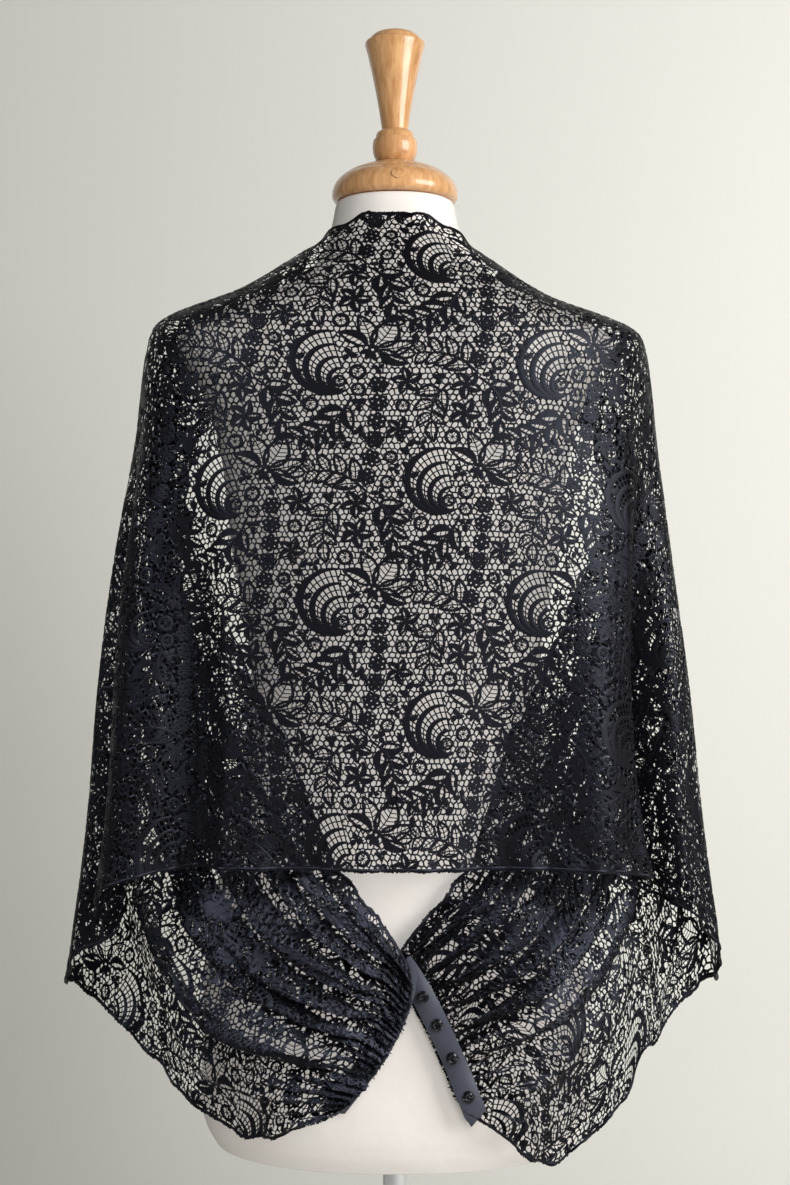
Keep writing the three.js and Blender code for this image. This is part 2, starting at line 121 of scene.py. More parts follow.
class MaterialMaker:
    """A new material with the few kinds of node that the finishes share."""

    def __init__(self, name: str) -> None:
        """Start the material.

        Args:
            name: Name of the real material.
        """
        self.made = bpy.data.materials.new(name)
        self.made.use_nodes = True
        self.tree = self.made.node_tree
        self.shader = self.tree.nodes["Principled BSDF"]

    def flat_map(self) -> bpy.types.NodeSocket:
        """The piece's own map of its flat cut, in metres."""
        return add_node(self.tree, "ShaderNodeUVMap", uv_map="flat").outputs["UV"]

    def place(self) -> bpy.types.NodeSocket:
        """Object coordinates, which are those of the part."""
        return add_node(self.tree, "ShaderNodeTexCoord").outputs["Object"]

    def noise(
        self, vector: bpy.types.NodeSocket, size_mm: float, detail: float, **more
    ) -> bpy.types.NodeSocket:
        """Uneven spots.

        Args:
            vector: Coordinates.
            size_mm: Size of a spot.
            detail: Levels of finer spots.
            **more: Other values of the noise, by socket name.

        Returns:
            The noise, from nought to one.
        """
        values = {"Vector": vector, "Scale": 1 / (size_mm * MM), "Detail": detail, **more}
        return add_node(self.tree, "ShaderNodeTexNoise", values).outputs["Fac"]

    def bands(
        self, vector: bpy.types.NodeSocket, size_mm: float, axis: str, **more
    ) -> bpy.types.NodeSocket:
        """Even bands across one axis.

        Args:
            vector: Coordinates.
            size_mm: Pitch of the bands.
            axis: The axis they follow each other along.
            **more: Other values of the wave, by socket name.

        Returns:
            The wave, from nought to one.
        """
        values = {"Vector": vector, "Scale": WAVE_SCALE / (size_mm * MM), **more}
        return add_node(self.tree, "ShaderNodeTexWave", values, bands_direction=axis).outputs["Fac"]

    def ranged(self, value: bpy.types.NodeSocket, **limits) -> bpy.types.NodeSocket:
        """Spread a value over other limits.

        Args:
            value: The value.
            **limits: from_min, from_max, to_min or to_max.

        Returns:
            The value between the new limits.
        """
        sockets = {name.replace("_", " ").title(): limit for name, limit in limits.items()}
        return add_node(self.tree, "ShaderNodeMapRange", {"Value": value, **sockets}).outputs["Result"]

    def tint(self, share: bpy.types.NodeSocket, first: str, second: str) -> bpy.types.NodeSocket:
        """Mix two sRGB colours.

        Args:
            share: Share of the second.
            first: One colour.
            second: The other colour.

        Returns:
            The mixed colour.
        """
        values = {"Factor": share, "A": linear(first), "B": linear(second)}
        return add_node(self.tree, "ShaderNodeMix", values, data_type="RGBA").outputs[2]

    def bump(
        self, height: bpy.types.NodeSocket, strength: float, depth_mm: float, **more
    ) -> bpy.types.NodeSocket:
        """Fine relief.

        Args:
            height: Height from nought to one.
            strength: Strength of the relief.
            depth_mm: Depth of the relief.
            **more: Other values of the bump, by socket name.

        Returns:
            The normal.
        """
        values = {"Height": height, "Strength": strength, "Distance": depth_mm * MM, **more}
        return add_node(self.tree, "ShaderNodeBump", values).outputs["Normal"]

    def finished(self, inputs: dict) -> bpy.types.Material:
        """Fill the shader's sockets.

        Args:
            inputs: Socket name to a value or to an output socket.

        Returns:
            The material.
        """
        fill_sockets(self.tree, self.shader, inputs)
        return self.made


def smooth_step(value: np.ndarray) -> np.ndarray:
    """Ease from nought to one, flat outside."""
    t = np.clip(value, 0.0, 1.0)
    return t * t * (3 - 2 * t)


def ridge(distance: np.ndarray, width: float) -> np.ndarray:
    """Rounded ridge of unit height, nought beyond one width either way."""
    t = np.clip(np.abs(distance) / width, 0.0, 1.0)
    return 0.5 + 0.5 * np.cos(np.pi * t)


def deselect_all() -> None:
    """Leave nothing selected, in object mode."""
    bpy.ops.object.select_all(action="DESELECT")
    bpy.context.view_layer.objects.active = None


def select_only(piece: bpy.types.Object) -> None:
    """Leave one piece selected and active.

    Args:
        piece: The piece.
    """
    deselect_all()
    piece.select_set(True)
    bpy.context.view_layer.objects.active = piece


class Table:
    """Rows of numbers with named columns, the first of which is the key."""

    def __init__(self, columns: str, rows: list[tuple]) -> None:
        """Keep the columns as arrays.

        Args:
            columns: Column names with spaces between.
            rows: One tuple for each row.
        """
        self.names = columns.split()
        self.rows = [dict(zip(self.names, row)) for row in rows]
        self.column = {name: np.array([row[name] for row in self.rows], float) for name in self.names}

    def monotone(self, name: str, at: np.ndarray) -> np.ndarray:
        """Read a column on a monotone cubic.

        Args:
            name: Column to read.
            at: Values of the key.

        Returns:
            The column's values there.
        """
        x, y = self.column[self.names[0]], self.column[name]
        step = np.diff(x)
        slope = np.diff(y) / step
        tangent = np.concatenate([slope[:1], np.zeros(len(x) - 2), slope[-1:]])
        for i in range(1, len(x) - 1):
            if slope[i - 1] * slope[i] > 0:
                before, after = 2 * step[i] + step[i - 1], step[i] + 2 * step[i - 1]
                tangent[i] = (before + after) / (before / slope[i - 1] + after / slope[i])
        i = np.clip(np.searchsorted(x, at, "right") - 1, 0, len(x) - 2)
        t = np.clip((at - x[i]) / step[i], 0, 1)
        u = 1 - t
        ends = u * u * (1 + 2 * t) * y[i] + t * t * (3 - 2 * t) * y[i + 1]
        return ends + step[i] * (u * u * t * tangent[i] - t * t * u * tangent[i + 1])

    def fair(self, name: str, at: np.ndarray) -> np.ndarray:
        """Read a column on a natural cubic, which bends evenly.

        Args:
            name: Column to read.
            at: Values of the key.

        Returns:
            The column's values there.
        """
        x, y = self.column[self.names[0]], self.column[name]
        step = np.diff(x)
        count = len(x)
        system, turn = np.eye(count), np.zeros(count)
        for i in range(1, count - 1):
            system[i, i - 1 : i + 2] = step[i - 1], 2 * (step[i - 1] + step[i]), step[i]
            turn[i] = 6 * ((y[i + 1] - y[i]) / step[i] - (y[i] - y[i - 1]) / step[i - 1])
        bend = np.linalg.solve(system, turn)
        i = np.clip(np.searchsorted(x, at, "right") - 1, 0, count - 2)
        t = (at - x[i]) / step[i]
        u = 1 - t
        curve = ((u**3 - u) * bend[i] + (t**3 - t) * bend[i + 1]) * step[i] ** 2 / 6
        return u * y[i] + t * y[i + 1] + curve


@dataclass(frozen=True)
class LaceThread:
    """Black nylon and viscose thread of a warp-knit lace: nearly black, with a slate sheen on folds."""

    name: str = "black_lace_thread"
    dark: str = "#08070a"
    worn: str = "#100f13"
    sheen: str = "#9aa0b2"
    gloss: str = "#ccd4ea"
    thread_mm: float = 0.45
    cloud_mm: float = 70.0

    def material(self) -> bpy.types.Material:
        """Make the material on the flat map of the lace.

        Returns:
            The new material.
        """
        maker = MaterialMaker(self.name)
        flat = maker.flat_map()
        cloud = maker.noise(flat, self.cloud_mm, 3.0, Roughness=0.6)
        twist = maker.noise(flat, self.thread_mm, 2.0)
        return maker.finished(
            {
                "Base Color": maker.tint(cloud, self.dark, self.worn),
                "Normal": maker.bump(twist, 0.5, 0.25),
                "Roughness": 0.42,
                "Specular IOR Level": 0.2,
                "Specular Tint": linear(self.gloss),
                "Sheen Weight": 0.08,
                "Sheen Roughness": 0.3,
                "Sheen Tint": linear(self.sheen),
            }
        )


@dataclass(frozen=True)
class SatinTape:
    """Charcoal cotton tape with a satin face: fine cross ribs and a soft, cool highlight."""

    name: str = "charcoal_satin_tape"
    colour: str = "#2a2c34"
    paler: str = "#383b45"
    sheen: str = "#9aa3b8"
    rib_mm: float = 0.9

    def material(self) -> bpy.types.Material:
        """Make the material on the flat map of the tape, which runs along its first axis.

        Returns:
            The new material.
        """
        maker = MaterialMaker(self.name)
        ribs = maker.bands(maker.flat_map(), self.rib_mm, "X", Distortion=0.6)
        return maker.finished(
            {
                "Base Color": maker.tint(ribs, self.colour, self.paler),
                "Normal": maker.bump(ribs, 0.35, 0.2),
                "Roughness": 0.48,
                "Sheen Weight": 0.2,
                "Sheen Tint": linear(self.sheen),
            }
        )


@dataclass(frozen=True)
class LacqueredSteel:
    """Pressed steel of sew-on snaps under black lacquer: dark, with small sharp highlights, some of them
    painted on as paler spots.
    """

    name: str = "black_lacquered_steel"
    colour: str = "#26262b"
    paler: str = "#9a9ca3"
    glint_mm: float = 2.2

    def material(self) -> bpy.types.Material:
        """Make the material on Object coordinates.

        Returns:
            The new material.
        """
        maker = MaterialMaker(self.name)
        # paler metal in small random spots: painted highlights on the snaps
        glints = maker.noise(maker.place(), self.glint_mm, 4.0)
        share = maker.ranged(glints, from_min=0.52, from_max=0.75)
        tint = maker.tint(share, self.colour, self.paler)
        return maker.finished({"Base Color": tint, "Metallic": 0.75, "Roughness": 0.3})


@dataclass(frozen=True)
class JerseyCover:
    """Off-white cotton jersey stretched over a foam form: matt, finely knitted, a little creased."""

    name: str = "off_white_jersey"
    light: str = "#efebe7"
    shade: str = "#e2dad4"
    knit_mm: float = 1.6  # drawn twice as coarse as the real knit, so that it shows
    crease_mm: float = 90.0

    def material(self) -> bpy.types.Material:
        """Make the material on Object coordinates.

        Returns:
            The new material.
        """
        maker = MaterialMaker(self.name)
        place = maker.place()
        crease = maker.noise(place, self.crease_mm, 4.0, Distortion=0.4)
        knit = maker.bands(place, self.knit_mm, "Z", Distortion=1.5, Detail=1.0)
        return maker.finished(
            {
                "Base Color": maker.tint(crease, self.light, self.shade),
                "Normal": maker.bump(knit, 0.12, 0.3, Normal=maker.bump(crease, 0.35, 6.0)),
                "Roughness": 0.9,
                "Specular IOR Level": 0.2,
                "Sheen Weight": 0.08,
            }
        )


@dataclass(frozen=True)
class LacqueredBeech:
    """Turned beech under clear gloss lacquer: warm tan, darker grain along its length, sharp gloss."""

    name: str = "lacquered_beech"
    light: str = "#dcab78"
    dark: str = "#b98452"
    grain_mm: float = 5.0
    grain_run: float = 14.0

    def material(self) -> bpy.types.Material:
        """Make the material on Object coordinates, grain along Z.

        Returns:
            The new material.
        """
        maker = MaterialMaker(self.name)
        drawn_out = {"Vector": maker.place(), "Scale": (1.0, 1.0, 1 / self.grain_run)}
        place = add_node(maker.tree, "ShaderNodeMapping", drawn_out).outputs["Vector"]
        grain = maker.noise(place, self.grain_mm, 6.0, Roughness=0.62)
        share = maker.ranged(grain, from_min=0.36, from_max=0.66)
        return maker.finished(
            {
                "Base Color": maker.tint(share, self.light, self.dark),
                "Roughness": 0.32,
                "Coat Weight": 0.7,
                "Coat Roughness": 0.09,
            }
        )


@dataclass(frozen=True)
class ChromePlate:
    """Polished chrome over steel: a clear mirror with faint polishing lines."""

    name: str = "chrome_plate"
    colour: str = "#d9dbdf"
    line_mm: float = 1.5

    def material(self) -> bpy.types.Material:
        """Make the material on Object coordinates.

        Returns:
            The new material.
        """
        maker = MaterialMaker(self.name)
        lines = maker.noise(maker.place(), self.line_mm, 2.0)
        rough = maker.ranged(lines, to_min=0.06, to_max=0.13)
        return maker.finished({"Roughness": rough, "Base Color": linear(self.colour), "Metallic": 1.0})


@dataclass(frozen=True)
class MattPaint:
    """Matt wall paint of the backdrop and floor."""

    name: str = "greige_matt_paint"
    colour: str = "#f4f4ef"

    def material(self) -> bpy.types.Material:
        """Make the material, clear from behind, so that the wall hides nothing from the other side.

        Returns:
            The new material.
        """
        maker = MaterialMaker(self.name)
        tree, front = maker.tree, maker.shader.outputs["BSDF"]
        behind = add_node(tree, "ShaderNodeNewGeometry").outputs["Backfacing"]
        clear = add_node(tree, "ShaderNodeBsdfTransparent").outputs["BSDF"]
        shown = add_node(tree, "ShaderNodeMixShader", {0: behind, 1: front, 2: clear}).outputs["Shader"]
        fill_sockets(tree, tree.nodes["Material Output"], {"Surface": shown})
        return maker.finished(
            {"Base Color": linear(self.colour), "Roughness": 0.95, "Specular IOR Level": 0.1}
        )


@dataclass
class FlatMesh:
    """Lace in the flat: points as (a, b, height) in millimetres, and faces of three or four corners."""

    points: list[np.ndarray] = field(default_factory=list)
    faces: list[np.ndarray] = field(default_factory=list)
    count: int = 0

    def add(self, points: np.ndarray, faces: np.ndarray) -> None:
        """Add points and the faces on them.

        Args:
            points: Rows of (a, b, height).
            faces: Rows of four indices into these points, the last -1 for a triangle.
        """
        self.points.append(points)
        self.faces.append(np.where(faces < 0, -1, faces + self.count))
        self.count += len(points)

    def ribbon(
        self, line: np.ndarray, half: np.ndarray | float, crown: float = 0.0, closed: bool = False
    ) -> None:
        """Add a ribbon of thread along a line.

        Args:
            line: Rows of (a, b).
            half: Half the width, one number or one for each point.
            crown: Height of the ribbon's middle above its edges; a flat ribbon has none.
            closed: Whether the line runs back to its start.
        """
        after, before = np.roll(line, -1, axis=0), np.roll(line, 1, axis=0)
        if not closed:
            after[-1], before[0] = line[-1], line[0]
        along = after - before
        along /= np.maximum(np.linalg.norm(along, axis=1, keepdims=True), 1e-9)
        out = np.stack([-along[:, 1], along[:, 0]], axis=1) * np.broadcast_to(half, len(line))[:, None]
        rails = [(line + out, MOTIF_RISE), (line - out, MOTIF_RISE)]
        if crown:
            rails.insert(1, (line, MOTIF_RISE + crown))
        wide = len(rails)
        raised = [np.column_stack([rail, np.full(len(line), rise)]) for rail, rise in rails]
        points = np.stack(raised, axis=1)
        start = np.arange(len(line) if closed else len(line) - 1)
        nxt = (start + 1) % len(line)
        faces = [
            np.stack([start * wide + k, nxt * wide + k, nxt * wide + k + 1, start * wide + k + 1], axis=1)
            for k in range(wide - 1)
        ]
        self.add(points.reshape(-1, 3), np.concatenate(faces))

    def joined(self) -> tuple[np.ndarray, np.ndarray]:
        """All points and all faces as two arrays."""
        return np.concatenate(self.points), np.concatenate(self.faces)


@dataclass(frozen=True)
class Spot:
    """Place of a motif in the repeat: centre in millimetres, turn in degrees, size and hand."""

    a: float
    b: float
    turn: float = 0.0
    size: float = 1.0
    flip: bool = False

    def put(self, points: np.ndarray) -> np.ndarray:
        """Carry a motif's own points to its place.

        Args:
            points: Rows of (x, y) about the motif's foot.

        Returns:
            Rows of (a, b).
        """
        angle = math.radians(self.turn)
        x, y = points[:, 0] * self.size, points[:, 1] * (-self.size if self.flip else self.size)
        return np.stack(
            [
                self.a + x * math.cos(angle) - y * math.sin(angle),
                self.b + x * math.sin(angle) + y * math.cos(angle),
            ],
            axis=1,
        )

    def at(self, x: float, y: float, turn: float = 0.0, size: float = 1.0) -> "Spot":
        """Place of something that stands on this motif.

        Args:
            x: Its place along the motif.
            y: Its place across the motif.
            turn: Its own turn in degrees.
            size: Its own size.

        Returns:
            The spot in the repeat.
        """
        a, b = self.put(np.array([[x, y]]))[0]
        return Spot(a, b, self.turn + (-turn if self.flip else turn), self.size * size, self.flip)


@dataclass
class LaceRepeat:
    """One repeat of the lace's flowers and leaves, each next column of which sits half a repeat lower."""

    wide: float = 84.0
    tall: float = 200.0
    seed: int = 5
    motifs: FlatMesh = field(default_factory=FlatMesh)
    cleared: list[np.ndarray] = field(default_factory=list)

    def ring(self, spot: Spot, radius: float, half: float, steps: int = 12, crown: float = 0.3) -> None:
        """A round of thread.

        Args:
            spot: Its centre.
            radius: Radius of the thread's middle.
            half: Half the thread's width.
            steps: Corners of the round.
            crown: Height of the thread's middle.
        """
        angle = np.linspace(0, 2 * np.pi, steps, endpoint=False)
        line = np.stack([radius * np.cos(angle), radius * np.sin(angle)], axis=1)
        self.motifs.ribbon(spot.put(line), half * spot.size, crown, closed=True)

    def bar(self, spot: Spot, start: tuple[float, float], end: tuple[float, float], half: float) -> None:
        """A short straight thread.

        Args:
            spot: The motif it belongs to.
            start: Its first end on the motif.
            end: Its last end on the motif.
            half: Half its width.
        """
        self.motifs.ribbon(spot.put(np.array([start, end], float)), half)

    def ring_flower(self, spot: Spot) -> None:
        """A round eyelet flower with spokes and a dot.

        Args:
            spot: Its centre.
        """
        self.ring(spot, 4.9, 1.25, 16)
        angle = np.linspace(0, 2 * np.pi, 40, endpoint=False)
        self.cleared.append(spot.put(np.stack([4.6 * np.cos(angle), 4.6 * np.sin(angle)], axis=1)))
        for k in range(8):
            c, s = math.cos(k * math.pi / 4 + 0.2), math.sin(k * math.pi / 4 + 0.2)
            self.bar(spot, (0.7 * c, 0.7 * s), (4.2 * c, 4.2 * s), 0.3)
        self.ring(spot, 0.6, 0.6, 6)

    def rosette(self, spot: Spot) -> None:
        """A small dark flower of six pierced petals.

        Args:
            spot: Its centre.
        """
        for k in range(6):
            angle = k * math.pi / 3
            self.ring(spot.at(4.7 * math.cos(angle), 4.7 * math.sin(angle)), 2.0, 1.25, 9)
        self.ring(spot, 1.7, 0.9, 8)

    def leaf(self, spot: Spot, length: float, width: float, filling: Filling, line: float = 1.0) -> None:
        """A leaf from its foot along X.

        Args:
            spot: Its foot.
            length: Foot to tip.
            width: Across its widest place.
            filling: What lies inside the outline.
            line: Half the outline's width.
        """
        steps = 9 if length > 16 else 7
        t = np.linspace(0, 1, steps)
        half = 0.5 * width * np.sin(np.pi * t**0.8) ** 0.85
        sway = 0.08 * length * np.sin(np.pi * t)
        middle = np.stack([length * t, sway], axis=1)
        if filling is Filling.SOLID:
            self.motifs.ribbon(spot.put(middle), np.maximum(half, 0.15) * spot.size, 0.35)
            return
        upper, lower = middle + np.stack([0 * t, half], axis=1), middle - np.stack([0 * t, half], axis=1)
        outline = np.concatenate([upper, lower[-2:0:-1]])
        self.cleared.append(spot.put(outline))
        self.motifs.ribbon(spot.put(outline), line * spot.size, closed=True)
        self.motifs.ribbon(spot.put(middle[::2]), 0.55 * spot.size)
        if filling is Filling.HALF_SOLID:
            self.motifs.ribbon(spot.put((middle + upper) / 2), np.maximum(half / 2, 0.1) * spot.size)
        count = max(3, int(length / 3.6))
        for k in range(1, count):
            at = k / count
            reach = 0.5 * width * math.sin(math.pi * at**0.8) ** 0.85
            rise = 0.08 * length * math.sin(math.pi * at)
            lean = 0.45 * reach
            self.bar(spot, (length * at, rise), (min(length * at + lean, length), rise - reach), 0.42)
            if filling is Filling.BARS:
                self.bar(spot, (length * at, rise), (min(length * at + lean, length), rise + reach), 0.42)

    def shell(self, spot: Spot) -> None:
        """Nested crescents that spring from one foot, with ladders of thread between them.

        Args:
            spot: Their common foot.
        """
        radii = (27.0, 20.6, 14.8, 9.6)
        angles = np.linspace(math.radians(-86), math.radians(128), 22)
        t = np.linspace(0, 1, len(angles))
        swell = np.sin(np.pi * np.clip(t * 0.96 + 0.02, 0, 1)) ** 0.7
        arcs = [np.stack([r * np.cos(angles), r + r * np.sin(angles)], axis=1) for r in radii]
        for k, line in enumerate(arcs):
            self.motifs.ribbon(spot.put(line), (0.4 + (2.5 - 0.25 * k) * swell) * spot.size, 0.4)
        self.cleared.append(spot.put(np.concatenate([arcs[0], arcs[-1][::-1]])))
        for k, (outer, inner) in enumerate(zip(radii, radii[1:])):
            for angle in np.linspace(math.radians(-50), math.radians(122), 18 - 4 * k):
                c, s = math.cos(angle), math.sin(angle)
                self.bar(spot, (inner * c, inner + inner * s), (outer * c, outer + outer * s), 0.62)
            r = (outer + inner) / 2
            between = np.stack([r * np.cos(angles), r + r * np.sin(angles)], axis=1)[5:]
            self.motifs.ribbon(spot.put(between), 0.5 * spot.size)
        self.ring_flower(spot.at(2.4, 9.6, 0, 0.9))

    def blossom(self, spot: Spot) -> None:
        """A flower seen from the side: a rounded bud between long hatched petals.

        Args:
            spot: Its heart.
        """
        self.leaf(spot.at(3, 0, 2), 31, 19, Filling.BARS, 1.35)
        for turn, length, width in ((48, 30, 13), (-46, 31, 13), (92, 24, 11), (-90, 25, 11)):
            kind = Filling.HALF_SOLID if abs(turn) > 60 else Filling.BARS
            self.leaf(spot.at(2, 0.06 * turn, turn), length, width, kind, 1.2)
        self.ring(spot, 2.6, 1.5, 10, 0.4)
        for turn in (140, 180, 220):
            c, s = math.cos(math.radians(turn)), math.sin(math.radians(turn))
            self.leaf(spot.at(2 * c, 2 * s, turn), 9, 5, Filling.SOLID)

    def frond(self, spot: Spot, length: float, bow: float, pairs: int, filling: Filling) -> None:
        """A bowed stem with pairs of leaves and one at its tip.

        Args:
            spot: Foot of the stem.
            length: Foot to tip.
            bow: How far its middle bows aside.
            pairs: Number of leaf pairs.
            filling: What the leaves hold.
        """
        t = np.linspace(0, 1, 14)
        line = np.stack([length * t, 4 * bow * t * (1 - t)], axis=1)
        self.motifs.ribbon(spot.put(line), (1.15 - 0.6 * t) * spot.size, 0.35)
        for k in range(pairs):
            at = (k + 0.9) / (pairs + 0.6)
            lean = math.degrees(math.atan2(4 * bow * (1 - 2 * at), length))
            size = 1.12 - 0.4 * at
            for side in (1, -1):
                foot = at + 0.03 * side
                leaf = spot.at(length * foot, 4 * bow * foot * (1 - foot), lean + side * 46, size)
                self.leaf(leaf, 19, 9.2, filling, 1.15)
        lean = math.degrees(math.atan2(-4 * bow, length))
        self.leaf(spot.at(length, 0, lean), 17, 8.8, filling, 1.15)

    def vine(self, spot: Spot, length: float, bow: float, leaves: int) -> None:
        """A thin stem with small solid leaves by turns on both sides.

        Args:
            spot: Foot of the stem.
            length: Foot to tip.
            bow: How far its middle bows aside.
            leaves: Number of leaves.
        """
        t = np.linspace(0, 1, 12)
        line = np.stack([length * t, 4 * bow * t * (1 - t)], axis=1)
        self.motifs.ribbon(spot.put(line), 0.6 * spot.size, 0.25)
        for k in range(leaves):
            at = (k + 0.7) / leaves
            lean = math.degrees(math.atan2(4 * bow * (1 - 2 * at), length))
            turn = lean + (52 if k % 2 else -52)
            self.leaf(spot.at(length * at, 4 * bow * at * (1 - at), turn), 9.5, 5.4, Filling.SOLID)

    def spray(self, spot: Spot) -> None:
        """Five hatched leaves round a small eye.

        Args:
            spot: Its centre.
        """
        for k in range(5):
            self.leaf(spot.at(0, 0, 72 * k), 12.5, 6.4, Filling.HALF_SOLID, 1.0)
        self.ring(spot, 1.5, 0.8, 7)

    def sprig(self, spot: Spot) -> None:
        """Three small solid leaves on one foot.

        Args:
            spot: Their foot.
        """
        for turn in (0, 118, 240):
            self.leaf(spot.at(0, 0, turn), 6.5, 4.4, Filling.SOLID)

    def draw(self) -> None:
        """Lay out the whole repeat."""
        self.shell(Spot(50, 66, 150))
        self.blossom(Spot(68, 32, -62, 0.95))
        fronds = (
            (52, 72, 142, 56, -8, 4, Filling.HALF_SOLID), (62, 152, 200, 50, 7, 4, Filling.BARS),
            (64, 156, 62, 40, -6, 3, Filling.HALF_SOLID), (42, 160, 112, 36, 5, 3, Filling.BARS),
        )
        for a, b, turn, length, bow, pairs, filling in fronds:
            self.frond(Spot(a, b, turn), length, bow, pairs, filling)
        for a, b, turn, length, bow, leaves in ((56, 112, 172, 42, 5, 7), (4, 62, -84, 50, 5, 8)):
            self.vine(Spot(a, b, turn), length, bow, leaves)
        for step in range(6):
            self.rosette(Spot(72 - 0.4 * step * step, 62 + 15.5 * step, 20 * step))
        self.fill()

    def fill(self) -> None:
        """Set sprays, ring flowers and sprigs into the widest places that are still bare."""
        random = np.random.default_rng(self.seed)
        spots = np.stack(np.mgrid[0 : self.wide : 3, 0 : self.tall : 3], axis=-1).reshape(-1, 2)
        bare, seen = np.full(len(spots), np.inf), 0
        shifts = [
            (i * self.wide, (j - 0.5 * (i % 2)) * self.tall) for i in (-1, 0, 1) for j in (-1, 0, 1, 2)
        ][1:-1]
        kinds = ((self.spray, 10.5, 5), (self.ring_flower, 7.2, 14), (self.sprig, 4.8, 18))
        for kind, clear, most in kinds:
            for _ in range(most):
                for points in self.motifs.points[seen:]:
                    for shift in shifts:
                        off = spots[:, None, :] - (points[None, :, :2] + shift)
                        bare = np.minimum(bare, np.hypot(off[:, :, 0], off[:, :, 1]).min(axis=1))
                seen = len(self.motifs.points)
                at = int(bare.argmax())
                if bare[at] < clear:
                    break
                kind(Spot(*spots[at], random.uniform(0, 360), random.uniform(0.9, 1.1)))

    def tiled(self, low: tuple[float, float], high: tuple[float, float]) -> tuple[np.ndarray, np.ndarray]:
        """Repeat the motifs over a cut of cloth.

        Args:
            low: Least a and b.
            high: Greatest a and b.

        Returns:
            Points and faces, some of them past the cut.
        """
        points, faces = self.motifs.joined()
        whole = FlatMesh()
        for i in range(math.floor(low[0] / self.wide) - 1, math.ceil(high[0] / self.wide) + 1):
            drop = -0.5 * self.tall if i % 2 else 0.0
            for j in range(-1, math.ceil(high[1] / self.tall) + 2):
                shift = np.array([i * self.wide, j * self.tall + drop, 0])
                whole.add(points + shift, faces)
        return whole.joined()

    def clears(self, points: np.ndarray) -> np.ndarray:
        """Find which flat points lie inside an outline that has its own filling.

        Args:
            points: Rows of (a, b).

        Returns:
            True for each point that lies inside.
        """
        found = np.zeros(len(points), bool)
        for outline in self.cleared:
            centre = outline.mean(axis=0)
            off = points - centre
            turns = np.round(off[:, 0] / self.wide)
            off = off - np.stack([turns * self.wide, -0.5 * self.tall * (np.abs(turns) % 2)], axis=1)
            off[:, 1] -= np.round(off[:, 1] / self.tall) * self.tall
            shape = outline - centre
            near = np.flatnonzero(np.linalg.norm(off, axis=1) < np.linalg.norm(shape, axis=1).max())
            x, y = off[near, 0][:, None], off[near, 1][:, None]
            x0, y0 = shape[:, 0], shape[:, 1]
            x1, y1 = np.roll(x0, -1), np.roll(y0, -1)
            rise = np.where(np.abs(y1 - y0) < 1e-9, 1e-9, y1 - y0)
            crosses = ((y0 > y) != (y1 > y)) & (x < (x1 - x0) * (y - y0) / rise + x0)
            found[near] |= crosses.sum(axis=1) % 2 == 1
        return found


@dataclass
class LaceNet:
    """Hexagonal net ground of the lace, its meshes a little uneven, as a warp-knit net is."""

    pitch_a: float = 84.0 / 19
    pitch_b: float = 200.0 / 44
    thread_half: float = 0.72
    unevenness: float = 0.78
    tilt: float = 0.5  # holes lie in three heights, which gives the flat threads a thickness from aside
    seed: int = 7

    def mesh(self, reach: float, width: float, repeat: LaceRepeat) -> tuple[np.ndarray, np.ndarray]:
        """Make the net of a cut of cloth.

        Args:
            reach: Half its length.
            width: Its width.
            repeat: Motifs, inside which the net is left out.

        Returns:
            Points and faces.
        """
        columns, rows = int(2 * reach / self.pitch_a) + 4, int(width / self.pitch_b) + 5
        j, i = np.mgrid[0:rows, 0:columns]
        odd = j % 2
        a = (i + 0.5 * odd - columns // 2) * self.pitch_a
        b = (j - 2) * self.pitch_b
        random = np.random.default_rng(self.seed)
        top, low = (
            np.stack([a, b + way * self.pitch_b * 2 / 3], -1)
            + random.uniform(-1, 1, (rows, columns, 2)) * self.unevenness
            for way in (1, -1)
        )
        up, down = np.clip(j + 1, 0, rows - 1), np.clip(j - 1, 0, rows - 1)
        right, left = np.clip(i + odd, 0, columns - 1), np.clip(i - 1 + odd, 0, columns - 1)
        corners = np.stack(
            [top, low[up, right], top[down, right], low, top[down, left], low[up, left]], axis=2
        )
        inward = corners.mean(axis=2, keepdims=True) - corners
        inward /= np.linalg.norm(inward, axis=3, keepdims=True)
        inset = self.thread_half * random.uniform(0.85, 1.15, (rows, columns, 1, 1)) / math.sin(math.pi / 3)
        holes = (corners + inward * inset).reshape(-1, 2)

        def corner(row: np.ndarray, column: np.ndarray, k: int) -> np.ndarray:
            """Index of one corner of the hole of a mesh."""
            return ((row * columns + column) * 6 + k).ravel()

        inner = (j > 0) & (j < rows - 1) & (i > 0) & (i < columns - 1)
        clear = repeat.clears(np.stack([a.ravel(), b.ravel()], axis=1)).reshape(rows, columns)
        beside = np.clip(i + 1, 0, columns - 1)
        none = np.full(rows * columns, -1)
        beside_gone, right_gone, left_gone = clear[j, beside], clear[up, right], clear[up, left]
        low_gone = clear[down, left] & clear[down, right]
        groups = (
            ((corner(j, i, 1), corner(j, i, 2), corner(j, beside, 4), corner(j, beside, 5)), beside_gone),
            ((corner(j, i, 0), corner(j, i, 1), corner(up, right, 3), corner(up, right, 4)), right_gone),
            ((corner(j, i, 5), corner(j, i, 0), corner(up, left, 2), corner(up, left, 3)), left_gone),
            ((corner(j, i, 0), corner(up, right, 4), corner(up, left, 2), none), right_gone & left_gone),
            ((corner(j, i, 3), corner(down, left, 1), corner(down, right, 5), none), low_gone),
        )
        faces = [np.stack(group, axis=1)[(inner & ~(clear & gone)).ravel()] for group, gone in groups]
        height = self.tilt * ((i - (j - odd) // 2 - j) % 3 - 1)
        return np.column_stack([holes, np.repeat(height.ravel(), 6)]), np.concatenate(faces)


